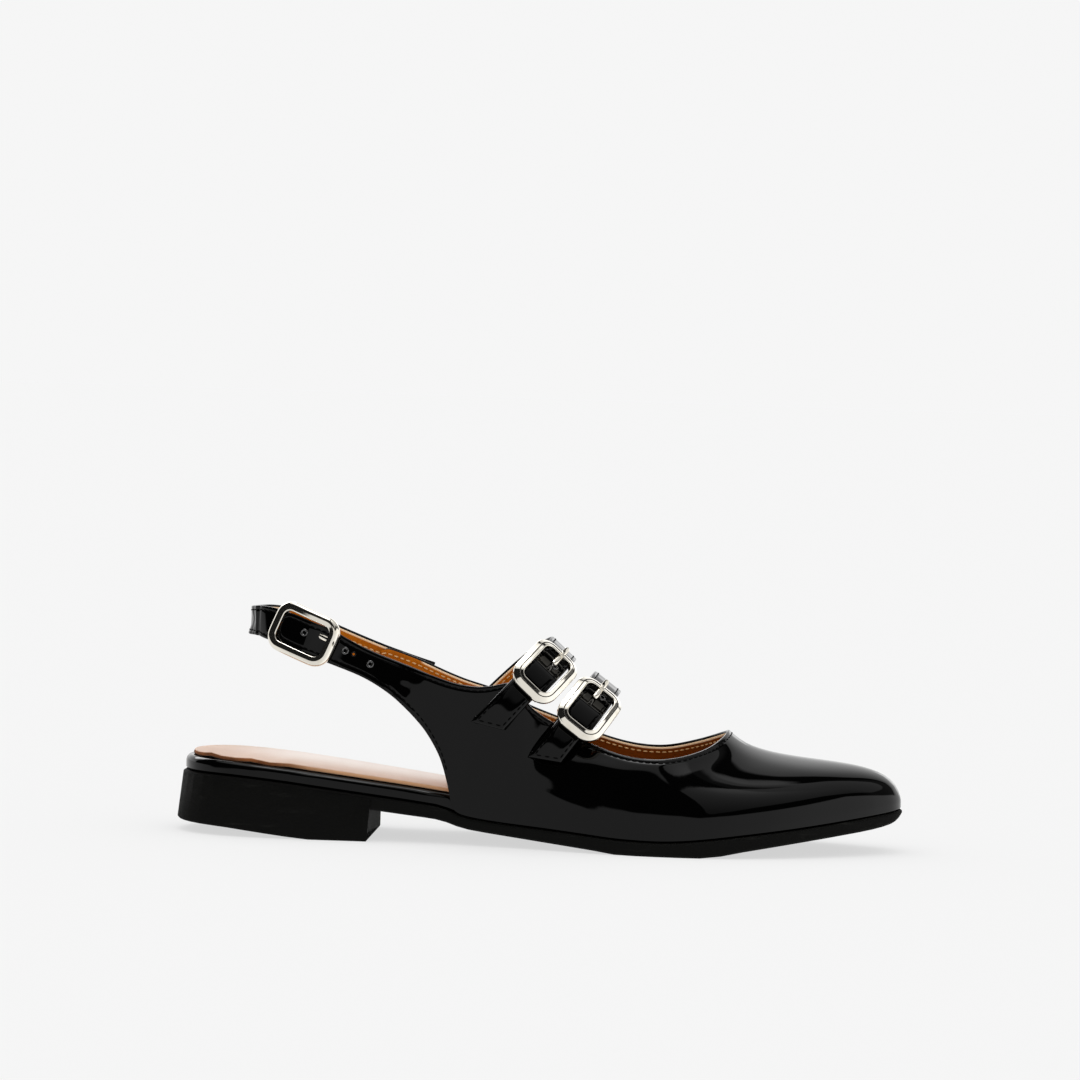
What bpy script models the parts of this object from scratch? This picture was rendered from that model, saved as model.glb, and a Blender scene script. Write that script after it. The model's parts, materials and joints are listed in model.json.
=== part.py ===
"""Black patent slingback flat with two buckled instep straps, right shoe.

The tables are in millimetres, in the frame of the last: x runs from the back of the heel to the toe,
the lateral side is at negative y, and the floor is at z = 0. A root empty carries every piece and puts
the origin under the middle of the shoe, on the floor.
"""
from math import cos, pi, radians, sin

import bpy
import numpy as np
from mathutils import Vector
from mathutils.bvhtree import BVHTree

# Driving dimensions, in millimetres
MM = 0.001
GAP = 0.3
WALL = 1.9
OUTSOLE_CHAMFER = 0.7
HEEL_CHAMFER = 0.6
STRAP_THICKNESS = 1.6
STRAP_WIDTH = 10.2
TAB_WIDTH = 10.6
BREAST_X = 70.5
BREAST_HOLLOW = 2.0
HEEL_FLARE_BACK = 2.2
HEEL_FLARE_SIDE = 0.5
HEEL_HALF_WIDTH = 27.0
FEATHER_INSET = 1.1
FEATHER_GAP = 0.45
RAND_INSET = 0.5
RAND_ROUND = 2.2
RAND_CHAMFER = 0.6
BOARD_FRONT_INSET = 4.0
RAND_FRONT_X = (89.0, 103.0)
SOCK_THICKNESS = 1.5
SOCK_CHAMFER = 0.5
SOCK_INSET_REAR = 3.2
SOCK_INSET_FRONT = 5.0
FRAME_LENGTH = 25.2
FRAME_WIDTH = 18.2
FRAME_CORNER = 5.4
FRAME_WIRE = 1.35
FRAME_BEND = 3.5
PRONG_WIRE = 0.75
SHARP_ANGLE = 40.0
BEYOND = 100.0

# Number of steps that curves are cut into, and lengths of the steps along straps
OUTLINE_STEPS = 2
ROW_STEPS = 2
WALL_STEPS = 9
BREAST_STEPS = 8
ROUTE_STEPS = 8
CORNER_STEPS = 4
ACROSS_STEPS = 4
ALONG_STEP = 2.5
SLING_STEP = 2.4
ROUND_TURNS = (0.0, 30.0, 60.0, 90.0)

# Edge of the outsole, seen from above; the heel and toe ends are single points
HEEL_END = (2.2, 0.0)
TOE_END = (258.0, 7.4)
SOLE_OUTLINE = {
    "columns": ("x", "lateral", "medial"),
    "rows": (
        (3.6, -9.0, 9.0),
        (8.0, -17.2, 17.2),
        (16.0, -23.2, 23.2),
        (28.0, -26.6, 26.4),
        (42.0, -27.4, 27.0),
        (58.0, -27.0, 26.4),
        (75.0, -26.2, 25.0),
        (90.0, -25.7, 23.4),
        (98.0, -26.3, 23.6),
        (106.0, -27.9, 24.6),
        (120.0, -30.3, 25.2),
        (135.0, -34.0, 27.6),
        (150.0, -37.8, 31.4),
        (165.0, -40.4, 35.8),
        (180.0, -41.0, 38.4),
        (195.0, -38.9, 38.9),
        (210.0, -34.0, 37.0),
        (225.0, -26.6, 33.0),
        (238.0, -18.0, 27.9),
        (248.0, -9.6, 22.3),
        (254.5, -2.2, 16.9),
        (257.2, 2.6, 12.3),
    ),
}

# Heights along the sole: tread, upper face of the outsole and upper face of the insole board
SOLE_PROFILE = {
    "columns": ("x", "tread", "outsole", "board"),
    "rows": (
        (2.0, 17.1, 21.5, 27.0),
        (18.0, 16.9, 21.2, 26.5),
        (36.0, 15.6, 20.0, 25.2),
        (54.0, 13.6, 18.0, 23.3),
        (75.0, 10.8, 15.6, 20.8),
        (86.0, 9.6, 14.3, 19.5),
        (95.0, 8.6, 13.0, 18.3),
        (104.8, 5.9, 9.7, 17.0),
        (117.0, 4.4, 8.2, 15.0),
        (135.0, 2.6, 6.9, 12.2),
        (150.0, 1.1, 5.7, 10.0),
        (160.0, 0.0, 4.9, 8.9),
        (174.0, 0.0, 4.7, 8.3),
        (187.0, 0.0, 5.7, 9.0),
        (205.0, 2.8, 7.9, 11.0),
        (222.0, 5.5, 10.0, 13.2),
        (236.0, 7.6, 12.0, 15.3),
        (250.0, 9.8, 14.1, 17.4),
        (254.5, 11.0, 14.8, 18.1),
        (258.0, 13.6, 15.6, 18.6),
    ),
}

# Tread of the heel: it rises behind the flat spot
HEEL_PROFILE = {
    "columns": ("x", "tread"),
    "rows": ((0.0, 4.0), (18.0, 3.2), (32.0, 1.8), (42.0, 0.7), (50.0, 0.0), (BREAST_X, 0.0)),
}

# Route of the sling on its outer face: lateral arm, round the back, medial arm
SLING_ROUTE = {
    "columns": ("x", "y", "z"),
    "rows": (
        (66.0, -24.9, 63.6),
        (57.0, -23.6, 67.3),
        (45.6, -21.2, 71.8),
        (37.0, -17.4, 74.9),
        (30.0, -11.9, 75.9),
        (25.6, -5.2, 75.5),
        (24.2, 0.5, 75.1),
        (26.0, 7.0, 75.1),
        (31.0, 13.6, 75.0),
        (39.0, 19.2, 73.3),
        (48.0, 22.6, 69.7),
        (58.0, 24.8, 65.6),
        (68.0, 26.6, 61.7),
        (79.0, 28.1, 58.0),
        (88.0, 29.2, 55.2),
        (97.0, 30.0, 52.4),
    ),
}
SLING_BUCKLE_X = 45.6
SLING_MEDIAL_END_X = 87.0
SLING_LATERAL_END = 0.5
SLING_PRONG_SIDE = 1.6

# Tail of the lateral arm inside the sling buckle, measured along the sling from the buckle's centre
ARM_TAIL = {
    "columns": ("along", "half_width", "out"),
    "rows": (
        (-8.6, 2.4, 2.3),
        (-7.2, 4.3, 2.3),
        (-5.2, 4.9, 2.3),
        (2.5, 4.9, 2.3),
        (7.0, 4.9, 0.5),
        (10.5, 4.9, 0.0),
    ),
}
# End of the medial arm under the sling strap
MEDIAL_TAIL_X = 68.0
MEDIAL_TAIL = {
    "columns": ("along", "half_width"),
    "rows": ((0.0, 2.6), (1.6, 4.3), (4.0, 4.8)),
}

# Arms and quarters: under edge, top edge and how far the leather bellies out between them
QUARTER_ROWS = {
    "columns": (
        "under_x", "under_z", "under_lateral", "under_medial",
        "top_x", "top_z", "top_lateral", "top_medial", "medial_drop", "belly",
    ),
    "rows": (
        (66.1, 58.6, -25.1, None, 70.5, 67.1, -25.4, None, 0.0, 0.3),
        (77.0, 52.1, -27.2, 25.7, 83.5, 62.7, -27.2, 25.9, 1.0, 0.6),
        (84.3, 45.9, -28.4, 26.8, 92.5, 59.5, -28.0, 26.8, 1.6, 1.0),
        (90.2, 39.0, -29.0, 27.1, 100.0, 57.3, -28.4, 26.9, 2.2, 1.2),
        (95.4, 29.9, -28.8, 26.4, 107.0, 56.4, -28.7, 27.0, 3.3, 1.6),
        (98.6, 19.0, -27.4, 24.6, 112.0, 56.7, -28.9, 27.0, 5.2, 2.3),
        (100.4, 12.4, -26.2, 23.1, 116.0, 57.6, -28.9, 27.0, 7.6, 3.1),
    ),
}

# Quarters and vamp over the feather edge: top edge and the handles that shape the wall
VAMP_ROWS = {
    "columns": (
        "feather_x", "top_x", "top_z", "top_lateral", "top_medial", "medial_drop",
        "out", "up", "reach", "fall",
    ),
    "rows": (
        (103.6, 119.0, 58.0, -28.9, 26.9, 9.2, 4.9, 15.0, 5.8, 15.0),
        (112.0, 122.0, 55.6, -28.9, 26.8, 8.4, 4.3, 15.0, 4.4, 15.0),
        (122.0, 127.0, 49.8, -28.8, 26.8, 4.6, 4.0, 13.0, 3.5, 13.0),
        (134.0, 135.5, 44.3, -28.9, 27.2, 2.1, 3.5, 12.0, 3.0, 12.0),
        (148.0, 146.5, 38.6, -29.8, 28.6, 0.6, 2.5, 11.0, 3.0, 10.0),
        (164.0, 160.0, 34.3, -31.0, 30.3, 0.0, 1.8, 11.0, 3.0, 9.0),
        (181.0, 172.0, 33.4, -30.0, 29.3, -0.4, 1.8, 12.0, 4.5, 7.0),
        (200.0, 181.5, 34.8, -25.5, 25.0, -1.2, 2.0, 15.0, 7.0, 9.0),
        (220.0, 188.5, 37.1, -18.8, 18.8, -1.4, 2.5, 17.7, 9.0, 11.9),
        (238.0, 192.6, 39.6, -11.5, 13.0, -0.8, 3.0, 20.4, 10.0, 13.7),
        (250.0, 194.6, 41.3, -5.0, 7.6, -0.2, 3.6, 22.0, 10.5, 15.0),
    ),
}
THROAT = (195.3, 1.6, 42.2)
TOE_HANDLES = (4.1, 22.7, 10.5, 15.5)
AWAY_SHARE = 10.0

# Heights of a prong over its strap, at distances from the buckle's centre, before it crosses the bar
PRONG_RISE = {
    "columns": ("along", "under"),
    "rows": ((3.0, 2.5), (6.0, 2.7)),
}
PRONG_OVER_BAR = (-2.0, 1.0)

# Instep straps: crest on the outer face, lean of the strap's plane, half spans and fall of the arch,
# then distances down the arch to the buckle, the end of the tab and the medial end, how far the frame
# and the prong sit off the middle of the strap, and how far the medial half runs back for its distance out
INSTEP_STRAPS = {
    "columns": (
        "name", "crest_x", "crest_z", "lean", "lateral", "medial", "fall",
        "buckle", "tab_end", "medial_end", "frame_side", "prong_side", "run_back",
    ),
    "rows": (
        ("rear", 135.9, 69.5, 42.0, 35.6, 25.2, 36.0, 9.7, 35.9, 36.0, -0.9, -1.8, 0.26),
        ("front", 151.7, 58.1, 36.3, 36.2, 27.0, 36.0, 10.4, 32.6, 31.0, -0.8, -0.3, 0.0),
    ),
}
RUN_BACK_START = 4.0
TAB_SLANT = 0.57
STRAP_TAIL = {
    "columns": ("along", "out"),
    "rows": ((-9.5, 0.0), (-4.0, 0.4), (1.0, 2.1), (7.4, 2.1)),
}
TAB_START = 1.0
ARCH_QUARTER = 90.0
ARCH_LEG = 20.0
ARCH_POINTS = 111

FINISHES = {
    "columns": ("name", "colour", "roughness", "metallic"),
    "rows": (
        ("patent", (0.012, 0.012, 0.013), 0.08, 0.0),
        ("sole_black", (0.022, 0.022, 0.021), 0.55, 0.0),
        ("sock_tan", (0.70, 0.43, 0.25), 0.55, 0.0),
        ("buckle_metal", (0.78, 0.73, 0.62), 0.12, 1.0),
    ),
}


def table(source):
    """Columns of a table as a dictionary of lists."""
    return {name: [row[i] for row in source["rows"]] for i, name in enumerate(source["columns"])}


def records(source):
    """Rows of a table as dictionaries."""
    return [dict(zip(source["columns"], row)) for row in source["rows"]]


def monotone(xs, ys):
    """Smooth function through points that never overshoots them."""
    xs = np.asarray(xs, float)
    ys = np.asarray(ys, float)
    widths = np.diff(xs)
    slopes = np.diff(ys) / widths
    tangents = np.zeros(len(xs))
    tangents[0] = slopes[0]
    tangents[-1] = slopes[-1]
    for i in range(1, len(xs) - 1):
        before, after = slopes[i - 1], slopes[i]
        if before * after > 0:
            weight = (2 * widths[i] + widths[i - 1], widths[i] + 2 * widths[i - 1])
            tangents[i] = sum(weight) / (weight[0] / before + weight[1] / after)

    def value(x):
        i = int(np.clip(np.searchsorted(xs, x) - 1, 0, len(widths) - 1))
        t = min(max((x - xs[i]) / widths[i], 0.0), 1.0)
        start = (1 + 2 * t) * (1 - t) ** 2 * ys[i] + t * (1 - t) ** 2 * widths[i] * tangents[i]
        end = t * t * (3 - 2 * t) * ys[i + 1] + t * t * (t - 1) * widths[i] * tangents[i + 1]
        return float(start + end)

    return value


def spline(points, steps):
    """Centripetal Catmull-Rom curve through points, cut into steps between each pair."""
    points = np.asarray(points, float)
    lead = 2 * points[0] - points[1]
    tail = 2 * points[-1] - points[-2]
    padded = np.vstack([lead, points, tail])
    spacing = np.sqrt(np.linalg.norm(np.diff(padded, axis=0), axis=1))
    knots = np.concatenate([[0.0], np.cumsum(spacing)])

    def blend(first, second, start, end, t):
        return ((end - t) * first + (t - start) * second) / (end - start)

    result = []
    for i in range(1, len(padded) - 2):
        p, k = padded[i - 1:i + 3], knots[i - 1:i + 3]
        for step in range(steps):
            t = k[1] + (k[2] - k[1]) * step / steps
            near = [blend(p[j], p[j + 1], k[j], k[j + 1], t) for j in range(3)]
            middle = [blend(near[j], near[j + 1], k[j], k[j + 2], t) for j in range(2)]
            result.append(blend(*middle, k[1], k[2], t))
    result.append(points[-1])
    return np.array(result)


def ease(x, start, end):
    """Smooth step from 0 at start to 1 at end."""
    t = min(max((x - start) / (end - start), 0.0), 1.0)
    return t * t * (3 - 2 * t)


profile = table(SOLE_PROFILE)
tread_z = monotone(profile["x"], profile["tread"])
outsole_z = monotone(profile["x"], profile["outsole"])
board_z = monotone(profile["x"], profile["board"])
heel_z = monotone(table(HEEL_PROFILE)["x"], table(HEEL_PROFILE)["tread"])


def sole_edge():
    """Closed edge of the outsole: lateral side from heel to toe, then the medial side back."""
    rows = records(SOLE_OUTLINE)
    lateral = [(row["x"], row["lateral"]) for row in rows]
    medial = [(row["x"], row["medial"]) for row in reversed(rows)]
    loop = [medial[-1], HEEL_END, *lateral, TOE_END, *medial, HEEL_END, lateral[0]]
    return spline(loop, OUTLINE_STEPS)[OUTLINE_STEPS:-OUTLINE_STEPS - 1]


def side_line(loop, side):
    """One side of a closed loop, from the heel end to the toe end."""
    half = len(loop) // 2
    return loop[:half + 1] if side < 0 else np.vstack([loop[:1], loop[:half - 1:-1]])


def outward(loop):
    """Unit normals of a closed loop that point away from its middle."""
    tangent = np.roll(loop, -1, axis=0) - np.roll(loop, 1, axis=0)
    tangent /= np.linalg.norm(tangent, axis=1)[:, None]
    return np.column_stack([tangent[:, 1], -tangent[:, 0]])


def inset(loop, distance):
    """Loop moved inwards by a distance that may depend on x."""
    amounts = np.array([distance(x) for x in loop[:, 0]])
    return loop - outward(loop) * amounts[:, None]


edge = sole_edge()
feather = inset(edge, lambda x: FEATHER_INSET)
feather_normals = outward(edge)


def make_material(name, finish):
    values = next(row for row in records(FINISHES) if row["name"] == finish)
    material = bpy.data.materials.new(name)
    material.use_nodes = True
    shader = material.node_tree.nodes["Principled BSDF"]
    shader.inputs["Base Color"].default_value = (*values["colour"], 1.0)
    shader.inputs["Roughness"].default_value = values["roughness"]
    shader.inputs["Metallic"].default_value = values["metallic"]
    return material


def place(item, finish):
    """Give a piece a material of its own and hang it on the root."""
    item.data.materials.append(make_material(item.name, finish))
    parts.objects.link(item)
    item.parent = root
    return item


def mesh_piece(name, points, faces, finish):
    mesh = bpy.data.meshes.new(name)
    mesh.from_pydata([Vector(p) * MM for p in points], [], faces)
    mesh.shade_smooth()
    mesh.set_sharp_from_angle(angle=radians(SHARP_ANGLE))
    return place(bpy.data.objects.new(name, mesh), finish)


def slab(name, rings, finish):
    """Solid between stacked loops of equal length; each end is closed from side to side."""
    count = len(rings[0])
    half = count // 2
    points = [p for ring in rings for p in ring]
    faces = []
    for level in range(len(rings) - 1):
        low, high = level * count, (level + 1) * count
        for i in range(count):
            after = (i + 1) % count
            faces.append((low + i, low + after, high + after, high + i))
    top = (len(rings) - 1) * count
    for i in range(half):
        a, b, c, d = i, (i + 1) % count, (count - i - 1) % count, (count - i) % count
        corners = list(dict.fromkeys((a, b, c, d)))
        if len(corners) > 2:
            faces.append(tuple(reversed(corners)))
            faces.append(tuple(top + corner for corner in corners))
    return mesh_piece(name, points, faces, finish)


def sheet(name, grid, thickness, finish):
    """Leather of real thickness on the inner side of a grid of points."""
    rows, across = len(grid), len(grid[0])
    points = [p for row in grid for p in row]
    faces = []
    for i in range(rows - 1):
        for j in range(across - 1):
            a = i * across + j
            faces.append((a, a + 1, a + across + 1, a + across))
    item = mesh_piece(name, points, faces, finish)
    wall = item.modifiers.new("Wall", "SOLIDIFY")
    wall.thickness = thickness * MM
    wall.offset = -1.0
    wall.use_even_offset = True
    return item


def wire(name, points, radius, closed, finish):
    """Round wire along points."""
    curve = bpy.data.curves.new(name, "CURVE")
    curve.dimensions = "3D"
    curve.bevel_depth = radius * MM
    curve.bevel_resolution = 2
    curve.use_fill_caps = not closed
    line = curve.splines.new("POLY")
    line.points.add(len(points) - 1)
    for spot, point in zip(line.points, points):
        spot.co = (*(Vector(point) * MM), 1.0)
    line.use_cyclic_u = closed
    return place(bpy.data.objects.new(name, curve), finish)


def ring(loop, height):
    return [(x, y, height(x)) for x, y in loop]


# Sole, heel and insole
def make_outsole():
    inner = inset(edge, lambda x: OUTSOLE_CHAMFER)
    rings = [
        ring(inner, tread_z),
        ring(edge, lambda x: tread_z(x) + OUTSOLE_CHAMFER),
        ring(edge, lambda x: outsole_z(x) - OUTSOLE_CHAMFER),
        ring(inner, outsole_z),
    ]
    slab("outsole", rings, "sole_black")


def heel_loop(flare):
    """Back of the sole's edge as far as the breast, flared outwards, closed by a hollow breast."""
    sides = [side_line(edge, side) for side in (-1, 1)]
    lateral, medial = [line[line[:, 0] < BREAST_X] for line in sides]
    corners = [np.interp(BREAST_X, line[:, 0], line[:, 1]) for line in sides]
    breast = []
    for t in np.linspace(0.0, 1.0, BREAST_STEPS + 1):
        y = corners[0] + (corners[1] - corners[0]) * t
        breast.append((BREAST_X - BREAST_HOLLOW * sin(pi * t), y))
    loop = np.vstack([lateral, breast, medial[:0:-1]])
    fade = 1 - np.clip(loop[:, 0] / BREAST_X, 0, 1)
    loop[:, 0] -= flare * HEEL_FLARE_BACK * fade ** 2
    loop[:, 1] *= 1 + flare * HEEL_FLARE_SIDE * fade / HEEL_HALF_WIDTH
    return loop


def make_heel():
    top = heel_loop(0.0)
    bottom = heel_loop(1.0)
    inner = inset(bottom, lambda x: HEEL_CHAMFER)
    rings = [
        ring(inner, heel_z),
        ring(bottom, lambda x: heel_z(x) + HEEL_CHAMFER),
        ring(top, lambda x: tread_z(x) - GAP),
    ]
    slab("heel", rings, "sole_black")


def make_board():
    """Insole board, wrapped in a rounded rand behind the quarters and set back under the upper."""
    def margin(x):
        return RAND_INSET + (BOARD_FRONT_INSET - RAND_INSET) * ease(x, *RAND_FRONT_X)

    under = inset(edge, lambda x: margin(x) + RAND_CHAMFER)
    rings = [
        ring(under, lambda x: outsole_z(x) + GAP),
        ring(inset(edge, margin), lambda x: outsole_z(x) + GAP + RAND_CHAMFER),
    ]
    for turn in ROUND_TURNS:
        back = RAND_ROUND * (1 - cos(radians(turn)))
        drop = RAND_ROUND * (1 - sin(radians(turn)))
        rings.append(ring(inset(edge, lambda x: margin(x) + back), lambda x: board_z(x) - drop))
    slab("insole_board", rings, "patent")


def make_insole():
    def margin(x):
        return SOCK_INSET_REAR + (SOCK_INSET_FRONT - SOCK_INSET_REAR) * ease(x, *RAND_FRONT_X)

    loop = inset(edge, margin)
    shoulder = inset(edge, lambda x: margin(x) + SOCK_CHAMFER)
    rings = [
        ring(loop, lambda x: board_z(x) + GAP),
        ring(loop, lambda x: board_z(x) + GAP + SOCK_THICKNESS - SOCK_CHAMFER),
        ring(shoulder, lambda x: board_z(x) + GAP + SOCK_THICKNESS),
    ]
    slab("insole", rings, "sock_tan")


# Straps: a ribbon is a line on the strap's outer face with an outward and an across direction
class Ribbon:
    def __init__(self, line, normals, across):
        self.line = np.asarray(line, float)
        self.normals = np.asarray(normals, float)
        self.across = np.asarray(across, float)
        lengths = np.linalg.norm(np.diff(self.line, axis=0), axis=1)
        self.along = np.concatenate([[0.0], np.cumsum(lengths)])

    def mix(self, values, s):
        return np.array([np.interp(s, self.along, values[:, axis]) for axis in range(3)])

    def at(self, s, side=0.0, out=0.0):
        return self.mix(self.line, s) + side * self.mix(self.across, s) + out * self.mix(self.normals, s)

    def near_x(self, x, side):
        """Distance along the ribbon of the point nearest to x on one side of the shoe."""
        away = np.where(self.line[:, 1] * side > 0, np.abs(self.line[:, 0] - x), np.inf)
        return float(self.along[int(np.argmin(away))])


def sling_ribbon():
    route = table(SLING_ROUTE)
    line = spline(np.column_stack([route["x"], route["y"], route["z"]]), ROUTE_STEPS)
    tangent = np.gradient(line, axis=0)
    tangent /= np.linalg.norm(tangent, axis=1)[:, None]
    normals = np.column_stack([-tangent[:, 1], tangent[:, 0], np.zeros(len(line))])
    normals /= np.linalg.norm(normals, axis=1)[:, None]
    return Ribbon(line, normals, np.cross(tangent, normals))


def instep_ribbon(strap):
    """Arch of a strap in its leaning plane, from the medial end to the lateral end."""
    lean = radians(strap["lean"])
    up = np.array([sin(lean), 0.0, cos(lean)])
    across = np.array([-cos(lean), 0.0, sin(lean)])
    crest = np.array([strap["crest_x"], 0.0, strap["crest_z"]])
    lateral = np.array([0.0, -1.0, 0.0])
    reach = ARCH_QUARTER + ARCH_LEG
    line, normals = [], []
    for turn in np.linspace(-reach, reach, ARCH_POINTS):
        angle = radians(min(max(turn, -ARCH_QUARTER), ARCH_QUARTER))
        span = strap["lateral"] if turn > 0 else strap["medial"]
        leg = max(abs(turn) - ARCH_QUARTER, 0.0)
        drop = strap["fall"] * (1 - cos(angle)) + leg
        point = crest + lateral * span * sin(angle) - up * drop
        out = max(point[1], 0.0)
        point[0] -= strap["run_back"] * out * out / (out + RUN_BACK_START)
        line.append(point)
        facing = lateral * strap["fall"] * sin(angle) + up * span * cos(angle)
        normals.append(facing / np.linalg.norm(facing))
    ribbon = Ribbon(line, normals, [across] * len(line))
    ribbon.depth = np.array([float(np.dot(crest - p, up)) for p in ribbon.line])
    return ribbon


# Upper
def column(foot, low, high, top):
    """Points up the wall on the curve that four control points give."""
    result = []
    for t in np.linspace(0.0, 1.0, WALL_STEPS + 1):
        lower = (1 - t) ** 3 * foot + 3 * t * (1 - t) ** 2 * low
        result.append(lower + 3 * t * t * (1 - t) * high + t ** 3 * top)
    return result


def belly_controls(foot, top, side, belly):
    bulge = np.array([0.0, side * belly, 0.0])
    return [foot, foot + (top - foot) / 3 + bulge, top - (top - foot) / 3 + bulge, top]


def feather_point(x, side):
    """Point and outward direction of the feather edge at x on one side."""
    line = side_line(feather, side)
    normals = side_line(feather_normals, side)
    y = np.interp(x, line[:, 0], line[:, 1])
    facing = np.array([np.interp(x, line[:, 0], normals[:, axis]) for axis in range(2)])
    return np.array([x, y, outsole_z(x) + FEATHER_GAP]), facing / np.linalg.norm(facing)


def handle_controls(foot, facing, top, out, up, reach, fall):
    flat = np.array([*facing, 0.0])
    rise = np.array([0.0, 0.0, 1.0])
    forward = np.array([max(top[0] - foot[0], 0.0) / 3, 0.0, 0.0])
    away = (foot - top) * np.array([1.0, 1.0, 0.0]) + AWAY_SHARE * flat
    away /= np.linalg.norm(away)
    return [foot, foot + out * flat + up * rise + forward, top + reach * away - fall * rise, top]


def side_controls(side, sling):
    """Control points of one side, from the arm to the front of the vamp."""
    hand = "lateral" if side < 0 else "medial"
    rows = []
    if side < 0:
        start = sling.near_x(SLING_BUCKLE_X, side)
        for tail in records(ARM_TAIL):
            s = start - tail["along"]
            ends = [sling.at(s, half * tail["half_width"], tail["out"]) for half in (-1, 1)]
            rows.append(belly_controls(*ends, side, 0.0))
    else:
        start = sling.near_x(MEDIAL_TAIL_X, side)
        for tail in records(MEDIAL_TAIL):
            s = start + tail["along"]
            under = -STRAP_THICKNESS - GAP
            ends = [sling.at(s, half * tail["half_width"], under) for half in (-1, 1)]
            rows.append(belly_controls(*ends, side, 0.0))
    for row in records(QUARTER_ROWS):
        if row["under_" + hand] is None:
            continue
        foot_z = max(row["under_z"], outsole_z(row["under_x"]) + FEATHER_GAP)
        foot = np.array([row["under_x"], row["under_" + hand], foot_z])
        drop = row["medial_drop"] if side > 0 else 0.0
        top = np.array([row["top_x"], row["top_" + hand], row["top_z"] - drop])
        rows.append(belly_controls(foot, top, side, row["belly"]))
    for row in records(VAMP_ROWS):
        foot, facing = feather_point(row["feather_x"], side)
        drop = row["medial_drop"] if side > 0 else 0.0
        top = np.array([row["top_x"], row["top_" + hand], row["top_z"] - drop])
        handles = [row[name] for name in ("out", "up", "reach", "fall")]
        rows.append(handle_controls(foot, facing, top, *handles))
    return rows


def make_upper(sling):
    tip = feather[len(feather) // 2]
    tip_foot = np.array([*tip, outsole_z(tip[0]) + FEATHER_GAP])
    toe = handle_controls(tip_foot, np.array([1.0, 0.0]), np.array(THROAT), *TOE_HANDLES)
    lateral = side_controls(-1, sling)
    medial = side_controls(1, sling)
    rows = np.array([*medial, toe, *reversed(lateral)])
    curves = [spline(rows[:, i], ROW_STEPS) for i in range(4)]
    seated = len(VAMP_ROWS["rows"]) * ROW_STEPS
    middle = len(medial) * ROW_STEPS
    for i in range(middle - seated, middle + seated + 1):
        curves[0][i] = seat(curves[0][i])
    grid = [column(*[curve[i] for curve in curves]) for i in range(len(curves[0]))]
    return sheet("upper", grid, WALL, "patent")


def seat(point):
    """Nearest point of the feather edge, at the height of the outsole."""
    ends = np.roll(feather, -1, axis=0)
    spans = ends - feather
    share = np.sum((point[:2] - feather) * spans, axis=1) / np.sum(spans * spans, axis=1)
    spots = feather + spans * np.clip(share, 0.0, 1.0)[:, None]
    x, y = spots[int(np.argmin(np.linalg.norm(spots - point[:2], axis=1)))]
    return np.array([x, y, outsole_z(x) + FEATHER_GAP])


class Wall:
    """Outer and inner faces of the finished upper, met by a line across the shoe."""

    def __init__(self, upper):
        bpy.context.view_layer.update()
        self.tree = BVHTree.FromObject(upper, bpy.context.evaluated_depsgraph_get())

    def hit(self, x, y, z, side):
        spot = self.tree.ray_cast(Vector((x, y, z)) * MM, Vector((0.0, side, 0.0)))[0]
        return None if spot is None else spot.y / MM

    def outer(self, x, z, side):
        return self.hit(x, side * BEYOND, z, -side)

    def inner(self, x, z, side):
        return self.hit(x, 0.0, z, side)


# Straps, tabs and buckles
def strap_grid(stations, half_width, spot):
    sides = np.linspace(-half_width, half_width, ACROSS_STEPS + 1)
    return [[spot(station, side) for side in sides] for station in stations]


def stations_between(start, end, step):
    return np.linspace(start, end, max(2, int(round(abs(end - start) / step)) + 1))


def make_sling(sling, wall):
    centre = sling.near_x(SLING_BUCKLE_X, -1)
    start = centre - SLING_LATERAL_END
    end = sling.near_x(SLING_MEDIAL_END_X, 1)

    def spot(s, side):
        point = sling.at(s, side)
        if point[1] > 0:
            leather = wall.outer(point[0], point[2], 1)
            if leather is not None:
                point[1] = max(point[1], leather + GAP + STRAP_THICKNESS)
        return point

    grid = strap_grid(stations_between(start, end, SLING_STEP), STRAP_WIDTH / 2, spot)
    sheet("sling_strap", grid, STRAP_THICKNESS, "patent")
    make_buckle(("sling_buckle", "sling_prong"), sling, centre, 0.0, SLING_PRONG_SIDE)


def frame_path():
    """Rounded oblong of the buckle's wire, as distances along and across the strap."""
    long_half = FRAME_LENGTH / 2 - FRAME_WIRE
    wide_half = FRAME_WIDTH / 2 - FRAME_WIRE
    radius = FRAME_CORNER - FRAME_WIRE
    path = []
    for quarter, (along, across) in enumerate(((1, 1), (-1, 1), (-1, -1), (1, -1))):
        middle = (along * (long_half - radius), across * (wide_half - radius))
        for turn in np.linspace(0.0, 90.0, CORNER_STEPS + 1):
            angle = radians(90.0 * quarter + turn)
            path.append((middle[0] + radius * cos(angle), middle[1] + radius * sin(angle)))
        if along == across:
            path += [(bend * along, across * wide_half) for bend in (FRAME_BEND, -FRAME_BEND)]
    return path


def make_buckle(names, ribbon, centre, frame_side, prong_side):
    """Frame wrapped on its strap, and the prong that lies on the bar towards the holed strap."""
    rest = GAP + FRAME_WIRE
    frame = [ribbon.at(centre + along, across + frame_side, rest) for along, across in frame_path()]
    wire(names[0], frame, FRAME_WIRE, True, "buckle_metal")
    bar = FRAME_LENGTH / 2 - FRAME_WIRE
    over_bar = rest + FRAME_WIRE + GAP + PRONG_WIRE
    prong = [(row["along"], row["under"] + PRONG_WIRE) for row in records(PRONG_RISE)]
    prong += [(bar + past, over_bar) for past in PRONG_OVER_BAR]
    points = [ribbon.at(centre - along, prong_side, out) for along, out in prong]
    wire(names[1], points, PRONG_WIRE, False, "buckle_metal")


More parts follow.
